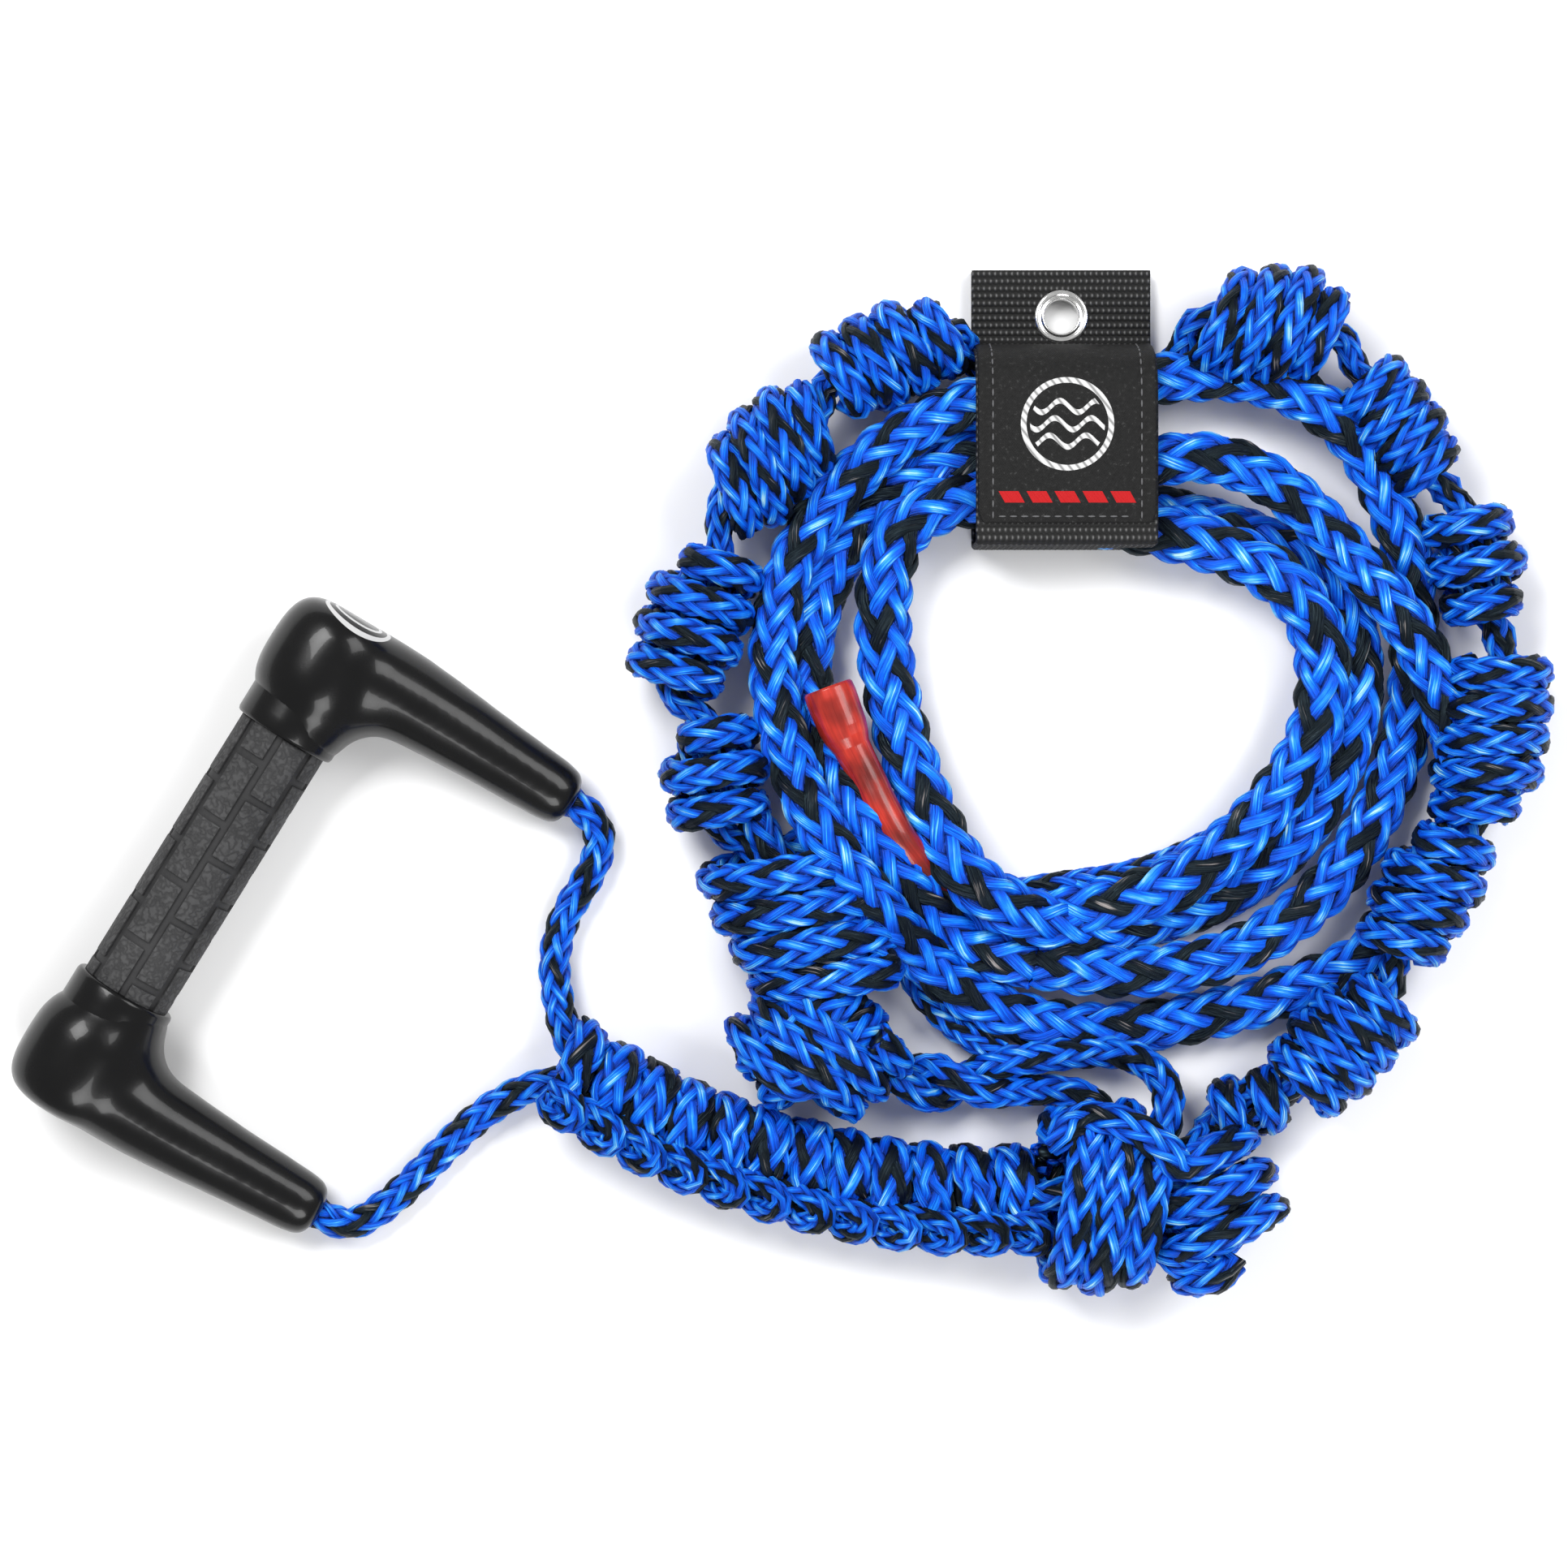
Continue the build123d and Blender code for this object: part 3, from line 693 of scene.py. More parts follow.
def big_knots():
    """The stopper knot and the double knot, each of bundles of turns that cross."""
    rng = np.random.default_rng(11)
    axes = turned_axes(STOPPER_HEADING)
    ahead, beside, above = axes
    centre = np.array(STOPPER_AT)
    crossed = turned_axes(STOPPER_HEADING + 112)
    right = centre + ahead * 0.018 - beside * 0.003
    route = [centre - ahead * 0.034, centre - ahead * 0.020]
    route += wraps(centre - ahead * 0.014, axes, 0.014, -0.015, 3, 0.0225, 0.0135, 0.8, rng,
                   lean=0.10, barrel=0.10)
    route += [centre - ahead * 0.020 + beside * 0.024 + above * 0.006,
              centre - ahead * 0.006 + beside * 0.022 + above * 0.013,
              centre + ahead * 0.006 + beside * 0.012 + above * 0.014]
    route += wraps(right, crossed, 0.016, -0.016, 3, 0.0150, 0.0135, 1.2, rng, lean=-0.15,
                   barrel=0.12)
    route += [right + ahead * 0.004 - beside * 0.014 + above * 0.008,
              centre + ahead * 0.004 - beside * 0.020 + above * 0.004,
              centre + ahead * 0.002 - beside * 0.008 - above * 0.002]
    big_knot("stopper_knot_rope", route,
             (*STOPPER_AT[:2], STOPPER_HEADING, 0.05, 0.019), 1, "stopper_knot")

    axes = turned_axes(BIG_HEADING)
    centre = np.array(BIG_AT)
    route = [centre - axes[0] * 0.030, centre - axes[0] * 0.014]
    route += wraps(centre, axes, 0.022, -0.021, 4, 0.0190, 0.0128, 0.4, rng, lean=0.22,
                   barrel=0.08)
    big_knot("big_knot_rope", route, (*BIG_AT[:2], BIG_HEADING, 0.056, 0.018), 2,
             "big_knot")

    centre = np.array(BALL_AT)
    axes = turned_axes(BALL_HEADING)
    crossed = (axes[1], axes[0], axes[2])
    route = wraps(centre, axes, -0.010, 0.010, 2, 0.0170, 0.0105, 0.2, rng, lean=0.1)
    route += wraps(centre, crossed, -0.013, 0.014, 3, 0.0168, 0.0135, 1.2, rng, lean=0.3,
                   barrel=0.15)
    big_knot("ball_knot_rope", route, (*BALL_AT[:2], BALL_HEADING, 0.038, 0.0193), 3,
             "ball_knot")


def along_route(line, fraction):
    """A place on a line and the directions ahead of it and beside it."""
    lengths = np.linalg.norm(np.diff(line, axis=0), axis=1)
    along = np.concatenate([[0], np.cumsum(lengths)]) / lengths.sum()
    at = np.array([np.interp(fraction, along, line[:, k]) for k in range(3)])
    far = np.array([np.interp(min(1, fraction + 0.01), along, line[:, k]) for k in range(3)])
    near = np.array([np.interp(max(0, fraction - 0.01), along, line[:, k]) for k in range(3)])
    ahead = far - near
    ahead /= np.linalg.norm(ahead)
    return at, ahead, np.array([-ahead[1], ahead[0], 0])


def bridle():
    """Each leg of the bridle runs on through the woven section as half of its core."""
    core = smooth_line(WOVEN_ROUTE)
    for name, leg, offset, turn in (("upper", UPPER_LEG, -0.0044, 0.6),
                                    ("lower", LOWER_LEG, 0.0044, 2.1)):
        inside = [at + beside * offset * min(1, 8 * t - 0.5) - (0, 0, 0.001)
                  for t in np.linspace(0.08, 0.99, 12)
                  for at, _, beside in [along_route(core, t)]]
        piece, line = braided(f"bridle_rope_{name}", smooth_line(leg + inside), ROPE_D,
                              step=1.8 * MM, turn=turn)
        cord(piece, [f"bridle_leg_{name}"])


WOVEN_HITCHES = 12
HITCH_POINTS = 12           # control points of one hitch
HITCH_START = 0.1           # how far in the first one lies, in hitches


def woven_section():
    """A row of hitches round the bridle's two ropes: broad turns side by side, and a ridge
    of small crossing loops along the lower edge."""
    axis = smooth_line(WOVEN_ROUTE)

    def place(hitches, beside_by, above_by):
        at, ahead, beside = along_route(axis, np.clip(hitches / (WOVEN_HITCHES + 0.2), 0, 1))
        return at + beside * beside_by + np.array([0, 0, above_by])

    def press(line):
        nearest = ((line[:, None] - axis[None, ::4]) ** 2).sum(2).argmin(1)
        return unit(line - axis[::4][nearest] + 1e-9)

    rng = np.random.default_rng(7)
    turns, ridge = [], []
    for i in range(WOVEN_HITCHES * HITCH_POINTS + 1):
        angle = TAU * i / HITCH_POINTS
        hitch = i / HITCH_POINTS + HITCH_START
        size = 1.07 * (1 + 0.03 * rng.standard_normal())
        turns.append(place(hitch + 0.10 * math.cos(angle),
                           0.0032 + 0.0080 * size * math.cos(angle),
                           0.0078 * size * math.sin(angle)))
        ridge.append(place(hitch + 0.60 * math.sin(angle),
                           -0.0098 + 0.0038 * size * math.cos(angle),
                           0.0048 + 0.0030 * math.sin(angle)))
    for name, route, nodes, rope, keep in (
            ("woven_hitches", turns, ["woven_section"], 0.0104, 0.66),
            ("woven_ridge", ridge, [], 0.0078, 0.90)):
        piece, line = braided(name, smooth_line(route), rope, press=press, keep=keep,
                              turn=len(nodes))
        cord(piece, nodes)


def leads():
    """The strands from the ball knot to the stopper knot."""
    middle = smooth_line(TWISTED_LEAD)
    count = len(middle)
    turn = np.linspace(0.4, 0.4 + 2.4 * math.pi, count)
    beside = np.stack([along_route(middle, t)[2] for t in np.linspace(0, 1, count)])
    for number, (phase, route) in enumerate(((0.0, LEAD_UPPER), (math.pi, LEAD_LOWER))):
        strand = (middle + beside * (0.0050 * np.cos(turn + phase))[:, None]
                  + np.outer(0.0042 * np.sin(turn + phase), (0, 0, 1)))
        piece, line = braided(f"lead_rope_{number + 1}",
                              smooth_line([*strand[::7], *route[1:]]), LEAD_D, turn=number)
        cord(piece, [["twisted_lead", "lead_upper"], ["lead_lower"]][number])
    piece, line = braided("lead_rope_thin", smooth_line(LEAD_THIN), THIN_D, turn=2)
    cord(piece, ["lead_thin"])


# the main line, from its end loop beside the strap, turn by turn to its middle
COIL_ROUTE = mm(
    (126, 226, 14), (137.5, 237.5, 19), (150, 246, 21), (166, 249, 21), (182, 247, 20),
    (199, 242, 19), (212.5, 238.5, 19), (229, 231, 19), (246, 217.5, 19), (257, 209, 19),
    (263.5, 198, 18), (267.5, 177, 16), (265.5, 160, 13), (259.5, 145, 10),
    (249.5, 131, 7.5), (237.5, 116, 6), (216.5, 97, 5.5), (195, 85, 5.5), (174, 80.5, 9),
    (154, 83.5, 17), (136, 89, 27), (112, 98, 30), (94.5, 110.5, 22), (79, 126, 16),
    (69.5, 142, 14), (64, 162, 14), (65.5, 186, 15), (72.5, 207, 17), (85, 224.5, 18),
    (100, 239, 18), (119.3, 252, 15.5), (139.5, 267.5, 16.5), (157, 274, 17),
    (172.5, 274, 17), (185, 270.5, 16), (197, 263.5, 14), (209, 255, 11),
    (220.5, 241.5, 8), (231.5, 226.5, 7), (240, 206.5, 7), (243.5, 186, 8),
    (243.5, 172, 10), (241.5, 157, 12), (234.5, 139, 13), (224, 124, 13),
    (206.5, 109.5, 11), (183.5, 98.5, 9), (160.5, 92.5, 11), (139, 98, 21), (120, 107, 24),
    (104.5, 115, 17), (89.5, 126, 12), (79, 143, 9), (74.5, 162, 8), (75.5, 180, 9),
    (81, 196, 11), (93, 212.5, 14), (109.5, 221, 15), (128, 222, 9), (146, 226, 7),
    (169, 233.5, 8), (191.5, 236, 9), (209, 227.5, 9), (220.5, 212.5, 9), (226.5, 194, 8),
    (228, 175, 7), (225, 158, 6), (217, 141, 5.5), (201.5, 123, 5.5), (186.5, 112.5, 9),
    (169.5, 107.5, 17), (152, 109, 21), (134.5, 119, 17.5), (115.5, 134.5, 13),
    (100, 151, 14), (90.5, 166, 15), (85, 182, 16), (92.5, 196.5, 16), (107, 206, 15),
    (124, 211.5, 12), (143, 219.5, 12), (165, 226, 15), (184, 228, 16), (199, 222.5, 16),
    (210.5, 209.5, 15), (216.5, 194, 14), (216.5, 178, 13), (214.5, 163, 12.5),
    (208.5, 145, 12.5), (197.5, 128.5, 12), (180, 114, 8.5), (160, 106, 5.8),
    (146, 104.5, 5.8))
# the sleeved rope end, and the rope that runs on from it inside the turns
SLEEVE_ROUTE = mm(
    (92, 134, 20.5), (103.5, 125, 20.5), (113, 119.5, 20), (123.5, 112.5, 22.2),
    (135.6, 106.2, 20.8), (150, 102, 11.2))
INNER_ROUTE = mm(
    (144, 103.6, 15), (152, 102.2, 10.5), (162, 107, 10.5), (175, 119, 8),
    (194.5, 134.5, 4.8), (207.5, 152.5, 4.8), (218, 172.5, 5.2), (221, 191, 6),
    (215, 209.5, 6.2))
INNER_D = 0.009


def main_line():
    """The flattened hollow braid of the main line in its loose strapped turns."""
    line = smooth_line(COIL_ROUTE)
    half = len(line) // 2
    for number, (part, name, diameter, keep, nodes) in enumerate((
            (line[:half + 1], "main_line_outer", 0.0125, 0.70, ["mainline_coil"]),
            (line[half:], "main_line_inner", 0.0132, 0.64, []))):
        piece, part = braided(name, part, diameter, press=flat_on_ground, keep=keep,
                              turn=number, step=1.9 * MM)
        cord(piece, nodes)
    piece, part = braided("sleeved_rope", smooth_line(INNER_ROUTE), INNER_D, turn=4)
    cord(piece)


# distances along the sleeve and its radius there: inside the mouth, its rim, the flare
SLEEVE_PROFILE = [(0.0060, 0.0046), (0.0010, 0.0056), (0.0, 0.0061), (0.0, 0.0067),
                  (0.0006, 0.0071), (0.0030, 0.0073), (0.0120, 0.0069), (0.0150, 0.0064),
                  (0.0180, 0.0054), (0.0230, 0.0051), (0.0400, 0.0050), (0.0735, 0.0048)]
SLEEVE_SIDES = 32


def sleeve():
    """The red plastic sleeve: a flared mouth, then a tube that bends with its rope."""
    line, along = evenly(smooth_line(SLEEVE_ROUTE), 0.5 * MM)
    _, side, up = carried_frames(line)
    steps = np.linspace(0, len(SLEEVE_PROFILE) - 1, 12 * len(SLEEVE_PROFILE))
    stations, radii = [np.interp(steps, range(len(SLEEVE_PROFILE)), values)
                       for values in zip(*SLEEVE_PROFILE)]

    def at(values):
        return np.stack([np.interp(stations, along, values[:, k]) for k in range(3)], 1)
    turns = np.arange(SLEEVE_SIDES) * TAU / SLEEVE_SIDES
    centre, side, up = at(line), at(side), at(up)
    rings = centre[:, None] + radii[:, None, None] * (
        side[:, None] * np.cos(turns)[None, :, None] + up[:, None] * np.sin(turns)[None, :, None])
    parts = MeshParts()
    parts.add_tube(rings, stations)
    piece = parts.build("red_rope_sleeve", SLEEVE)
    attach(piece, "root")
    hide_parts("rope_end_sleeve")


# ---------------------------------------------------------------- the handle

GRIP_X, AXIS_Z = -0.03075, 0.0175
GRIP_R = 0.0127
COLLAR_R, KNUCKLE_R = 0.015, 0.0175
COLLAR_START, CAP_END = 0.042, 0.0815
LEG_TILT = math.radians(7.2)
LEG_Y = 0.0685
RING_SIDES = 40
VOXEL = 0.0008
SKIN_PASSES = 150
# what the smoothing takes off a radius, times that radius
SHRINK = SKIN_PASSES * VOXEL ** 2 / 8


def deselect():
    if bpy.context.mode != "OBJECT":
        bpy.ops.object.mode_set(mode="OBJECT")
    bpy.ops.object.select_all(action="DESELECT")


def pick(piece):
    """Makes a piece the only one selected, and the active one."""
    deselect()
    piece.select_set(True)
    bpy.context.view_layer.objects.active = piece


def modified(piece, kind, **settings):
    """Adds a modifier with these settings to the active piece, and applies it."""
    made = piece.modifiers.new(kind.lower(), kind)
    for key, value in settings.items():
        setattr(made, key, value)
    bpy.ops.object.modifier_apply(modifier=made.name)


def turned_out():
    """Leaves edit mode with every face of the piece turned outwards."""
    bpy.ops.mesh.select_all(action="SELECT")
    bpy.ops.mesh.normals_make_consistent(inside=False)
    bpy.ops.object.mode_set(mode="OBJECT")


def finished(piece, name, material, body="root"):
    """Names a piece, puts its place in its mesh, and gives it its finish and body."""
    pick(piece)
    bpy.ops.object.transform_apply(location=True, rotation=True, scale=True)
    piece.name = name
    piece.data.name = name
    piece.data.materials.clear()
    piece.data.materials.append(material)
    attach(piece, body)
    return piece


def joined(pieces):
    deselect()
    for piece in pieces:
        piece.select_set(True)
    bpy.context.view_layer.objects.active = pieces[0]
    bpy.ops.object.join()
    return bpy.context.object


def lofted(rings):
    """A closed solid through three or more circles: each ring is (centre, direction, two
    radii)."""
    made = []
    for number, (centre, direction, wide, high) in enumerate(rings):
        deselect()
        turn = Vector(direction).to_track_quat("Z", "X").to_euler()
        capped = "NGON" if number in (0, len(rings) - 1) else "NOTHING"
        bpy.ops.mesh.primitive_circle_add(vertices=RING_SIDES, radius=1, fill_type=capped,
                                          location=centre, rotation=turn)
        bpy.context.object.scale = (high, wide, 1)
        bpy.ops.object.transform_apply(location=False, rotation=False, scale=True)
        made.append(bpy.context.object)
    solid = joined(made)
    pick(solid)
    bpy.ops.object.mode_set(mode="EDIT")
    bpy.ops.mesh.select_all(action="SELECT")
    bpy.ops.mesh.bridge_edge_loops(type="SINGLE")
    turned_out()
    return solid


def tilted(x, y, drop=0.0):
    """A place in the leaning plane of the legs; x is measured from the grip's axis."""
    return (GRIP_X + x * math.cos(LEG_TILT) - drop * math.sin(LEG_TILT), y,
            AXIS_Z - x * math.sin(LEG_TILT) - drop * math.cos(LEG_TILT))


def end_cap(name, side, material):
    """Collar, knuckle and leg flow into each other as one dipped skin."""
    across = (0, side, 0)

    def turned(profile, grow=SHRINK):
        return lofted([((GRIP_X, side * y, AXIS_Z), across, r + grow / r, r + grow / r)
                       for y, r in profile])
    knuckle = turned([(0.0500, 0.0140), (0.0515, 0.0152), (0.0545, 0.0165),
                      (0.0585, KNUCKLE_R), (0.0680, KNUCKLE_R), (0.0735, 0.0171),
                      (0.0775, 0.0158), (0.0802, 0.0130), (CAP_END, 0.0090)])
    along = Vector((math.cos(LEG_TILT), 0, -math.sin(LEG_TILT)))
    leg = lofted([(tilted(x, side * y), along, wide + SHRINK / wide, high + SHRINK / high)
                  for x, y, wide, high in (
                      (-0.004, 0.0672, 0.0105, 0.0120), (0.004, 0.0680, 0.0128, 0.0148),
                      (0.012, 0.0686, 0.0127, 0.0140), (0.024, 0.0692, 0.0119, 0.0124),
                      (0.037, 0.0692, 0.0108, 0.0110), (0.050, 0.0690, 0.0096, 0.0096),
                      (0.064, 0.0687, 0.0086, 0.0086), (0.0745, LEG_Y, 0.0079, 0.0079),
                      (0.0775, LEG_Y, 0.0070, 0.0070), (0.0792, LEG_Y, 0.0056, 0.0056))])
    bend = []
    middle_x, middle_y, sweep = 0.0275, 0.0425, 0.0262
    for step in range(9):
        angle = math.radians(90 * step / 8)
        place = tilted(middle_x - sweep * math.cos(angle),
                       side * (middle_y + sweep * math.sin(angle)))
        ahead = Vector((math.sin(angle), side * math.cos(angle), 0))
        radius = 0.0146 - 0.0030 * step / 8
        bend.append((place, ahead, radius, radius + 0.0006))
    elbow = lofted(bend)
    cap = joined([knuckle, leg, elbow])
    modified(cap, "REMESH", mode="VOXEL", voxel_size=VOXEL)
    modified(cap, "SMOOTH", factor=0.5, iterations=SKIN_PASSES)
    collar = turned([(COLLAR_START, 0.0138), (0.0421, 0.0144), (0.0424, 0.01475),
                     (0.0432, COLLAR_R), (0.0470, COLLAR_R), (0.0500, COLLAR_R),
                     (0.0525, COLLAR_R), (0.0560, 0.0149)], 0)
    cap = joined([cap, collar])
    bpy.ops.object.shade_smooth()
    cap = finished(cap, name + "_skin", material)
    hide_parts(name)


GRIP_COLUMNS = 8
GRIP_UNITS = 5
UNIT = TAU * GRIP_R / (GRIP_COLUMNS * GRIP_UNITS)
GRIP_ROWS = 46
BLOCK_ROWS = 10
BLOCK_HEIGHT = 0.00075


def rubber_grip():
    """Blocks raised from a flat mat, which is then rolled round the tube."""
    deselect()
    around, along = GRIP_COLUMNS * GRIP_UNITS, GRIP_ROWS
    bpy.ops.mesh.primitive_grid_add(x_subdivisions=around, y_subdivisions=along, size=1)
    mat = bpy.context.object
    mat.scale = (around * UNIT, along * UNIT, 1)
    bpy.ops.object.transform_apply(location=False, rotation=False, scale=True)
    for column in range(GRIP_COLUMNS):
        first = (column % 2) * (BLOCK_ROWS // 2) - BLOCK_ROWS
        for start in range(first, along, BLOCK_ROWS):
            chosen = []
            for face in mat.data.polygons:
                i = math.floor(face.center.x / UNIT + around / 2)
                j = math.floor(face.center.y / UNIT + along / 2)
                if (column * GRIP_UNITS <= i < column * GRIP_UNITS + GRIP_UNITS - 1
                        and start <= j < start + BLOCK_ROWS - 1
                        and face.center.z < 1e-6 and face.normal.z > 0.9):
                    chosen.append(face.index)
            if not chosen:
                continue
            bpy.ops.object.mode_set(mode="EDIT")
            bpy.ops.mesh.select_mode(type="FACE")
            bpy.ops.mesh.select_all(action="DESELECT")
            bpy.ops.object.mode_set(mode="OBJECT")
            for index in chosen:
                mat.data.polygons[index].select = True
            bpy.ops.object.mode_set(mode="EDIT")
            bpy.ops.mesh.inset(thickness=0.00012)
            bpy.ops.mesh.extrude_region_move(
                TRANSFORM_OT_translate={"value": (0, 0, BLOCK_HEIGHT)})
            bpy.ops.mesh.inset(thickness=0.00016)
            bpy.ops.transform.translate(value=(0, 0, 0.00008))
            bpy.ops.object.mode_set(mode="OBJECT")
    modified(mat, "SUBSURF", subdivision_type="SIMPLE", levels=1, render_levels=1)
    flat = np.zeros(len(mat.data.vertices) * 3)
    mat.data.vertices.foreach_get("co", flat)
    flat = flat.reshape(-1, 3)
    angle = -flat[:, 0] / GRIP_R
    reach = GRIP_R - BLOCK_HEIGHT * 0.6 + flat[:, 2]
    rolled = np.stack([GRIP_X + reach * np.sin(angle), flat[:, 1],
                       AXIS_Z + reach * np.cos(angle)], 1)
    mat.data.vertices.foreach_set("co", rolled.ravel())
    layer = mat.data.attributes.new("raised", "FLOAT", "POINT")
    layer.data.foreach_set("value", np.clip(flat[:, 2] / BLOCK_HEIGHT, 0, 1))
    bpy.ops.object.mode_set(mode="EDIT")
    bpy.ops.mesh.select_all(action="SELECT")
    bpy.ops.mesh.remove_doubles(threshold=0.00001)
    bpy.ops.mesh.select_all(action="DESELECT")
    bpy.ops.mesh.select_mode(type="EDGE")
    bpy.ops.mesh.select_non_manifold()
    bpy.ops.mesh.edge_face_add()
    turned_out()
    bpy.ops.object.shade_smooth_by_angle(angle=math.radians(38))
    grip = finished(mat, "grip_sleeve", RUBBER)
    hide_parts("rubber_grip")


# ---------------------------------------------------------------- the strap

STRAP_TURN = math.radians(31.75)
STRAP_ORIGIN = np.array([0.1284, 0.2018, 0.0])
STRAP_ACROSS = np.array([math.cos(STRAP_TURN), math.sin(STRAP_TURN), 0.0])
STRAP_ALONG = np.array([-math.sin(STRAP_TURN), math.cos(STRAP_TURN), 0.0])
STRAP_W, WEBBING_T = 0.0508, 0.0013
EYELET_U, EYELET_R = 0.0672, 0.0048
FOLD_Z, END_Z = 0.02665, 0.00405
# places along the strap and above the ground of the middle of its webbing
UNDER_ROUTE = [(0.0805, 0.0007), (0.050, 0.0007), (0.020, 0.0007), (0.0032, 0.0008),
               (0.0017, 0.0030), (0.0017, 0.0110), (0.0017, 0.0210)]
BEND_ROUTE = [(0.0017, 0.0210), (0.0017, 0.0250), (0.0019, FOLD_Z), (0.0038, FOLD_Z),
              (0.0075, FOLD_Z)]
TOP_ROUTE = [(0.0075, FOLD_Z), (0.024, FOLD_Z), (0.040, FOLD_Z), (0.0475, 0.0260),
             (0.0535, 0.0225), (0.0566, 0.0140), (0.0576, 0.0070), (0.0590, 0.0042),
             (0.066, END_Z), (0.0805, END_Z)]


def strap_place(x, u, z):
    return (STRAP_ORIGIN + np.multiply.outer(x, STRAP_ACROSS)
            + np.multiply.outer(u, STRAP_ALONG) + np.multiply.outer(z, (0, 0, 1.0)))


def cloth_slab(name, route, width, thickness, cell, relief, material, body,
               half_width=None, hole=None, crown=None, start=0.0):
    """A closed piece of cloth along a route, with relief(x, s) raised on both faces."""
    line = smooth_line([(0, u, z) for u, z in route])
    line, along = evenly(line, cell)
    run = unit(np.gradient(line, axis=0))
    outward = np.stack([np.zeros(len(line)), -run[:, 2], run[:, 1]], 1)
    count = round(width / cell) + 1
    share = np.linspace(-1, 1, count)
    half = np.full(len(line), width / 2) if half_width is None else half_width(along)
    x = half[:, None] * share[None]
    s = np.repeat(along[:, None], count, 1) + start
    edge = np.clip((half[:, None] - np.abs(x)) / (0.7 * thickness), 0, 1) ** 0.5
    sides = []
    for way in (1, -1):
        high = way * (thickness / 2 * (0.35 + 0.65 * edge) + relief(x, s) * edge)
        if crown is not None:
            high = high + crown(x, along[:, None], along[-1])
        u = line[:, 1, None] + outward[:, 1, None] * high
        z = line[:, 2, None] + outward[:, 2, None] * high
        sides.append(strap_place(x, u, np.maximum(z, 0.00002)))
    rows = len(line)
    points = np.concatenate([side.reshape(-1, 3) for side in sides])
    kept = np.ones((rows - 1, count - 1), bool)
    if hole is not None:
        u_mid = (line[1:, 1] + line[:-1, 1])[:, None] / 2
        x_mid = (x[1:, 1:] + x[:-1, :-1]) / 2
        kept = np.hypot(x_mid, u_mid - hole[0]) > hole[1]
    number = np.arange(rows * count).reshape(rows, count)
    under = number + rows * count
    a, b, c, d = number[:-1, :-1], number[:-1, 1:], number[1:, 1:], number[1:, :-1]
    quads = [np.stack([a, b, c, d], -1)[kept],
             np.stack([a, d, c, b], -1)[kept] + rows * count]
    wider = np.pad(kept, 1)
    for shift, (first, last) in (((0, -1), (a, d)), ((0, 1), (c, b)),
                                 ((-1, 0), (b, a)), ((1, 0), (d, c))):
        beyond = wider[1 + shift[0]:1 + shift[0] + rows - 1,
                       1 + shift[1]:1 + shift[1] + count - 1]
        rim = kept & ~beyond
        quads.append(np.stack([first[rim], last[rim], last[rim] + rows * count,
                               first[rim] + rows * count], -1))
    quads = np.concatenate(quads)
    used, quads = np.unique(quads, return_inverse=True)
    quads = quads.reshape(-1, 4)
    uv = np.stack([np.tile((x + width / 2).ravel(), 2), np.tile(s.ravel(), 2)], 1)[used]
    mesh = bpy.data.meshes.new(name)
    mesh.from_pydata(points[used].tolist(), [], quads.tolist())
    mesh.uv_layers.new(name="UVMap").data.foreach_set("uv", uv[quads].ravel())
    piece = piece_of(mesh, material)
    if body:
        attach(piece, body)
    return piece, float(along[-1])


def woven_relief(x, s):
    """Rows of small knots across the webbing."""
    row = np.floor(s / RIB)
    rib = np.abs(np.sin(math.pi * s / RIB)) ** 0.7
    knot = 0.5 + 0.5 * np.cos(TAU * (x / KNOT + 0.5 * (row % 2)))
    return 0.00010 * rib + 0.00016 * rib * knot


def smooth_relief(x, s):
    return 0.0 * x


LABEL_W, LABEL_FROM = 0.0498, 0.0070
LABEL_T = 0.0005
LABEL_LIFT = WEBBING_T / 2 + 0.00026 + LABEL_T / 2
STITCH_INSET = 0.0042
STITCH_GAP = 0.0031
STITCH_HALF = (0.00115, 0.00028, 0.00022)   # along its seam, across it, and high


def label_half(along):
    """Half the label's width: its sewn lower corners are cut back in a curve."""
    off = np.clip(1 - along / STITCH_INSET, 0, 1)
    return LABEL_W / 2 - 0.0016 * off ** 2


def label_crown(x, s, length):
    """The label's middle puffs up between its stitched edges."""
    across = np.clip(1 - (np.abs(x) / (LABEL_W / 2 - STITCH_INSET)) ** 4, 0, 1)
    ends = np.clip(np.minimum(s, length - s) / 0.006, 0, 1)
    ripple = 0.00012 * np.sin(x * 260 + s * 90) * np.sin(s * 210)
    hem = 0.00022 * np.exp(-((np.abs(x) - LABEL_W / 2 + 0.0012) / 0.0012) ** 2)
    return (0.00045 * across * ends + ripple * ends + hem)


def label_route():
    """The strap's own route under the label, moved outwards by the label's lift."""
    return [(LABEL_FROM, FOLD_Z + LABEL_LIFT), (0.024, FOLD_Z + LABEL_LIFT),
            (0.040, FOLD_Z + LABEL_LIFT),
            (0.0475 + 0.35 * LABEL_LIFT, 0.0260 + 0.94 * LABEL_LIFT),
            (0.0535 + 0.8 * LABEL_LIFT, 0.0225 + 0.7 * LABEL_LIFT),
            (0.0566 + LABEL_LIFT, 0.0145), (0.0576 + LABEL_LIFT, 0.0085)]


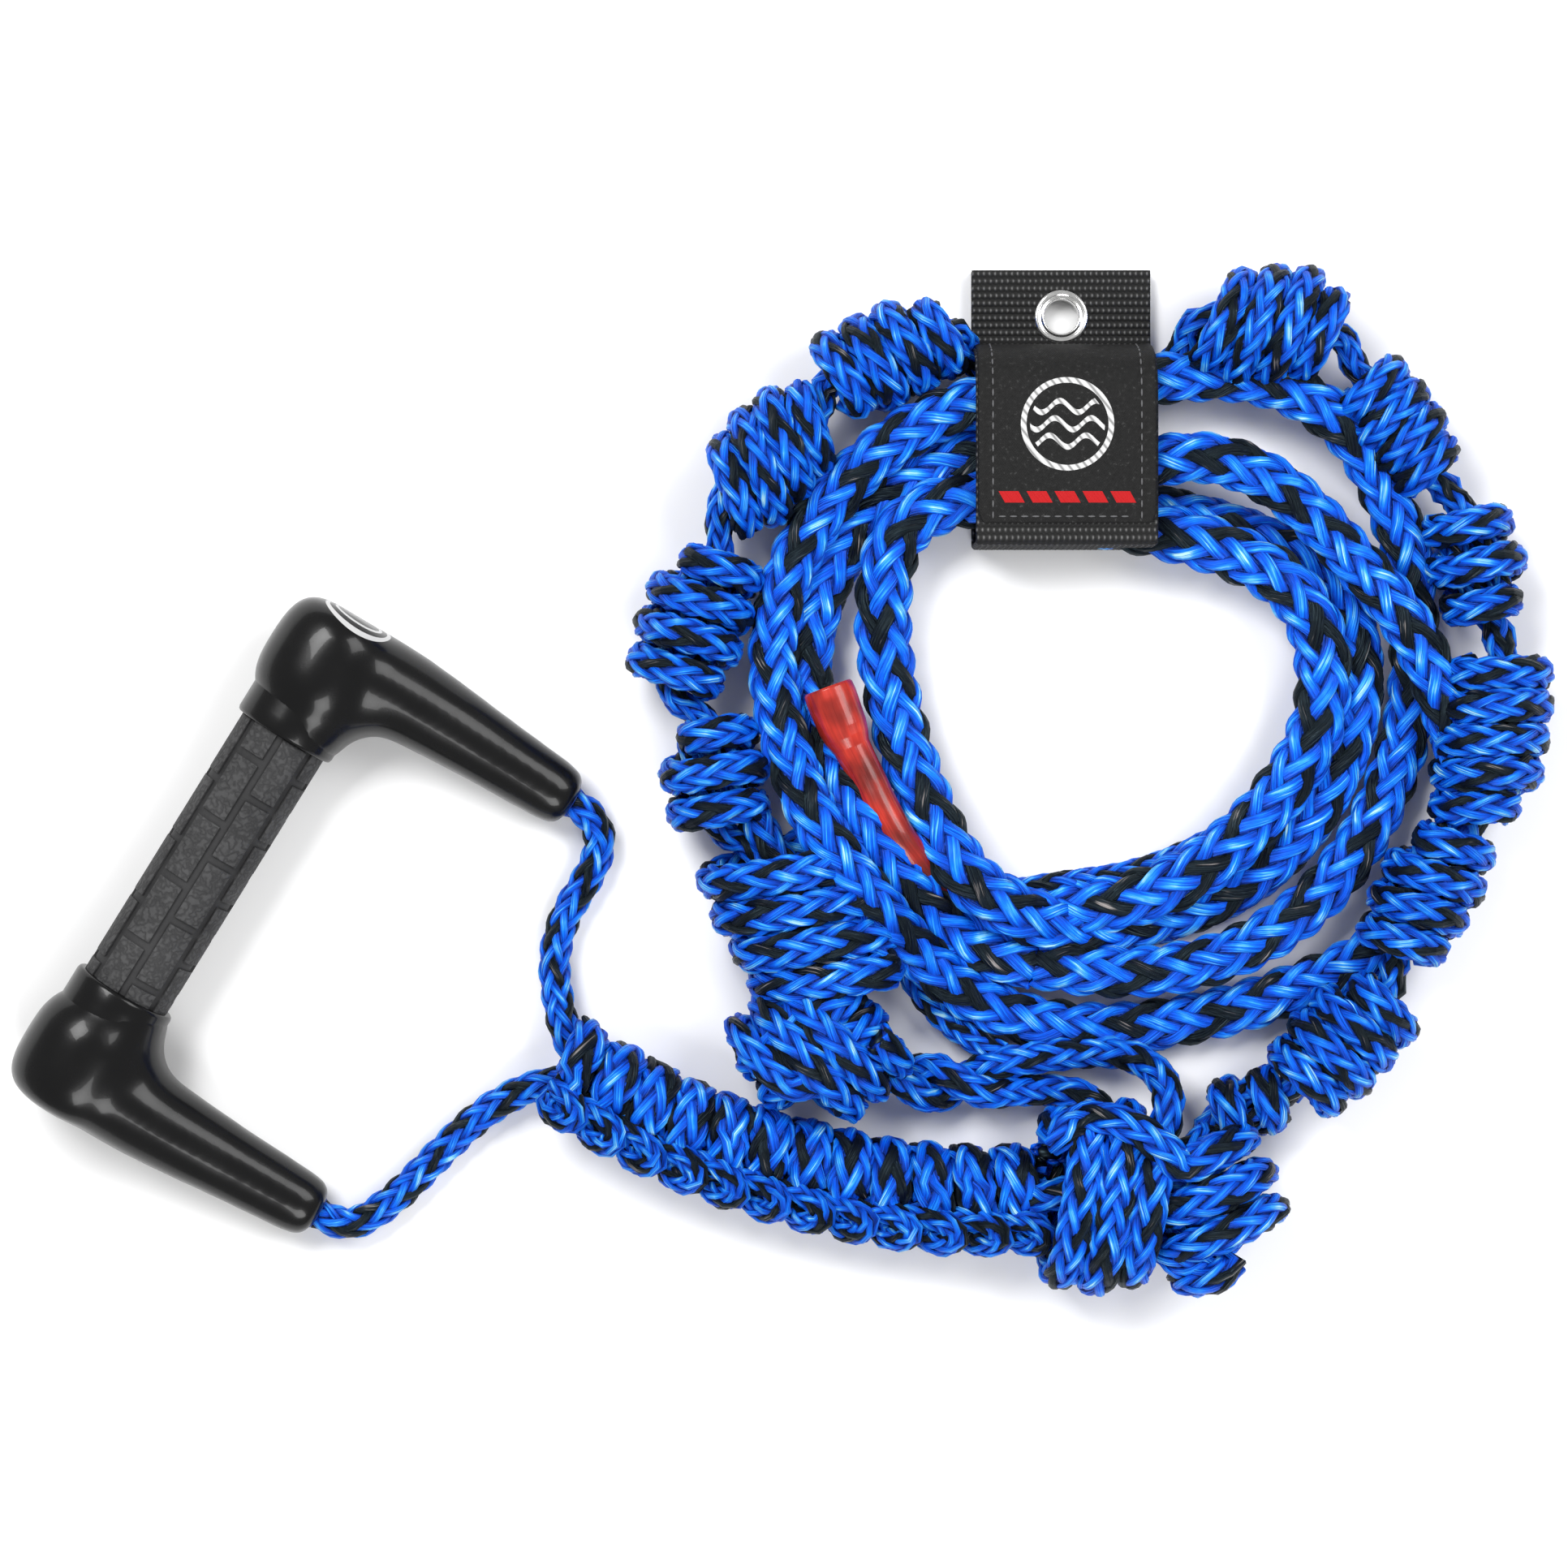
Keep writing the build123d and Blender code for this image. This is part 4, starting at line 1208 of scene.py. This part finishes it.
def stitches():
    """Short slanted stitches down both sides of the label and along its ends."""
    line = smooth_line([(0, u, z) for u, z in label_route()])
    line, along = evenly(line, 0.0004)
    run = unit(np.gradient(line, axis=0))
    outward = np.stack([np.zeros(len(line)), -run[:, 2], run[:, 1]], 1)
    places = []
    side = LABEL_W / 2 - STITCH_INSET
    for s in np.arange(0.0022, along[-1] - 0.001, STITCH_GAP):
        places += [(-side, s, True), (side, s, True)]
    for x in np.arange(-side + 0.0026, side - 0.002, STITCH_GAP):
        places += [(x, 0.0018, False)]
    deselect()
    bpy.ops.mesh.primitive_uv_sphere_add(segments=8, ring_count=5, radius=1)
    source = bpy.context.object
    base = np.array([tuple(v.co) for v in source.data.vertices])
    faces = [tuple(p.vertices) for p in source.data.polygons]
    points, polygons = [], []
    for x, s, lengthwise in places:
        at = np.array([np.interp(s, along, line[:, k]) for k in range(3)])
        ahead = unit(np.array([np.interp(s, along, run[:, k]) for k in range(3)]))
        up = unit(np.array([np.interp(s, along, outward[:, k]) for k in range(3)]))
        long, broad, high = STITCH_HALF
        size = (broad, long) if lengthwise else (long, broad)
        local = (base[:, 0, None] * size[0] * np.array([1.0, 0, 0])
                 + base[:, 1, None] * size[1] * ahead + base[:, 2, None] * high * up)
        local = local + at + np.array([x, 0, 0]) + up * (LABEL_T / 2 + 0.00012)
        start = len(points) * len(base)
        points.append(strap_place(local[:, 0], local[:, 1], local[:, 2]))
        polygons += [tuple(v + start for v in face) for face in faces]
    bpy.data.objects.remove(source)
    mesh = bpy.data.meshes.new("label_stitches")
    mesh.from_pydata(np.concatenate(points).tolist(), [], polygons)
    piece = piece_of(mesh, THREAD)
    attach(piece, "strap_flap")
    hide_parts("label_stitching")
    return piece


def eyelet():
    """Rolled metal rim: a broad outer ring, a groove, and the barrel's inner lip."""
    deselect()
    top = END_Z + WEBBING_T / 2 + 0.0002
    profile = [(0.00770, -0.0001), (0.00770, 0.00035), (0.00745, 0.00072), (0.00700, 0.00092),
               (0.00650, 0.00090), (0.00610, 0.00066), (0.00590, 0.00052), (0.00565, 0.00078),
               (0.00535, 0.00108), (0.00505, 0.00100), (0.00488, 0.00060),
               (EYELET_R, -0.0001), (EYELET_R, -0.0030)]
    bpy.ops.mesh.primitive_circle_add(vertices=64, radius=profile[0][0], fill_type="NOTHING")
    ring = bpy.context.object
    bpy.ops.object.mode_set(mode="EDIT")
    bpy.ops.mesh.select_all(action="SELECT")
    bpy.ops.transform.translate(value=(0, 0, profile[0][1]))
    for (r0, z0), (r1, z1) in zip(profile, profile[1:]):
        bpy.ops.mesh.extrude_region_move(TRANSFORM_OT_translate={"value": (0, 0, z1 - z0)})
        bpy.ops.transform.resize(value=(r1 / r0, r1 / r0, 1), center_override=(0, 0, z1))
    turned_out()
    modified(ring, "SOLIDIFY", thickness=0.00016, offset=-1)
    modified(ring, "SUBSURF", levels=1, render_levels=1)
    bpy.ops.object.shade_smooth()
    ring.location = tuple(strap_place(0.0, EYELET_U, top))
    ring = finished(ring, "eyelet_rim", NICKEL, "strap_flap")
    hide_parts("eyelet")
    return ring


def strap():
    """Webbing in three lengths, which meet in its fold, with the label and the eyelet."""
    hole = (EYELET_U, EYELET_R + 0.0008)
    under, length = cloth_slab("strap_under", UNDER_ROUTE, STRAP_W, WEBBING_T, 0.00045,
                               woven_relief, WEBBING, "root", hole=hole)
    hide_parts("strap_back")
    bend, more = cloth_slab("strap_bend", BEND_ROUTE, STRAP_W, WEBBING_T, 0.0004,
                            woven_relief, WEBBING, None, start=length)
    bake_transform(bend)
    top, rest = cloth_slab("strap_top", TOP_ROUTE, STRAP_W, WEBBING_T, 0.00042,
                           woven_relief, WEBBING, "strap_flap",
                           hole=hole, start=length + more)
    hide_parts("strap_front")
    label, long = cloth_slab("label_cloth", label_route(), LABEL_W, LABEL_T, 0.0005,
                             smooth_relief, LABEL, "strap_flap",
                             half_width=label_half, crown=label_crown)
    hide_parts("label_patch")
    thread = stitches()
    rim = eyelet()


# ---------------------------------------------------------------- the look

VIEW_TURN = math.radians(31.75)
VIEW_RIGHT = Vector((math.cos(VIEW_TURN), math.sin(VIEW_TURN), 0))
VIEW_UP = Vector((-math.sin(VIEW_TURN), math.cos(VIEW_TURN), 0))
VIEW_MIDDLE = Vector((0.0959, 0.1045, 0))
VIEW_WIDTH = 0.448


def studio():
    """Pale floor, soft lights and the camera straight above."""
    bpy.ops.object.select_all(action="DESELECT")
    bpy.ops.mesh.primitive_plane_add(size=6, location=(0.1, 0.1, -0.0004))
    floor = bpy.context.object
    floor.name = "floor"
    f = Finish("floor_white", Roughness=0.9, Base_Color=(0.94, 0.94, 0.94, 1),
               Specular_IOR_Level=0.2)
    floor.data.materials.append(f.material)
    world = bpy.data.worlds.new("studio")
    bpy.context.scene.world = world
    world.use_nodes = True
    background = world.node_tree.nodes["Background"]
    background.inputs[0].default_value = (1, 1, 1, 1)
    background.inputs[1].default_value = 0.42
    for name, right, up, high, size, power in (
            ("key", -0.45, 0.55, 1.0, 0.5, 11.5), ("fill", 0.75, 0.35, 0.9, 0.6, 7.5),
            ("front", 0.1, -0.8, 0.8, 0.45, 5.5)):
        light = bpy.data.lights.new(name, "AREA")
        light.size, light.energy = size, power
        lamp = bpy.data.objects.new(name, light)
        lamp.location = VIEW_MIDDLE + VIEW_RIGHT * right + VIEW_UP * up + Vector((0, 0, high))
        lamp.rotation_euler = (VIEW_MIDDLE - lamp.location).to_track_quat("-Z", "Y").to_euler()
        bpy.context.scene.collection.objects.link(lamp)
    camera = bpy.data.cameras.new("camera")
    camera.lens, camera.sensor_width, camera.clip_start = 85, 36, 0.01
    view = bpy.data.objects.new("camera", camera)
    view.location = VIEW_MIDDLE + Vector((0, 0, VIEW_WIDTH * camera.lens / camera.sensor_width))
    view.rotation_euler = (0, 0, VIEW_TURN)
    bpy.context.scene.collection.objects.link(view)
    bpy.context.scene.camera = view
    bpy.context.scene.view_settings.view_transform = "Standard"


def assign(node, material):
    """Gives a CAD node its finish."""
    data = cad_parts[node].data
    data.materials.clear()
    data.materials.append(material)


def cad_finishes():
    for names, material in (
            (("end_cap_upper", "end_cap_lower"), VINYL), (("rubber_grip",), RUBBER),
            (("grip_tube",), TUBE), (("tube_bushing_upper", "tube_bushing_lower"), BUSHING),
            (("bridle_rope_inside",), ROPE), (("strap_back", "strap_front"), WEBBING),
            (("hook_pad", "loop_pad"), PILE), (("label_patch",), LABEL),
            (("label_stitching",), THREAD), (("eyelet", "eyelet_washer"), NICKEL),
            (("rope_end_sleeve",), SLEEVE)):
        for name in names:
            assign(name, material)


def main():
    cad_finishes()
    end_cap("end_cap_upper", 1, PRINTED_VINYL)
    end_cap("end_cap_lower", -1, VINYL)
    rubber_grip()
    strap()
    bridle()
    woven_section()
    big_knots()
    chains()
    leads()
    main_line()
    sleeve()
    studio()


main()
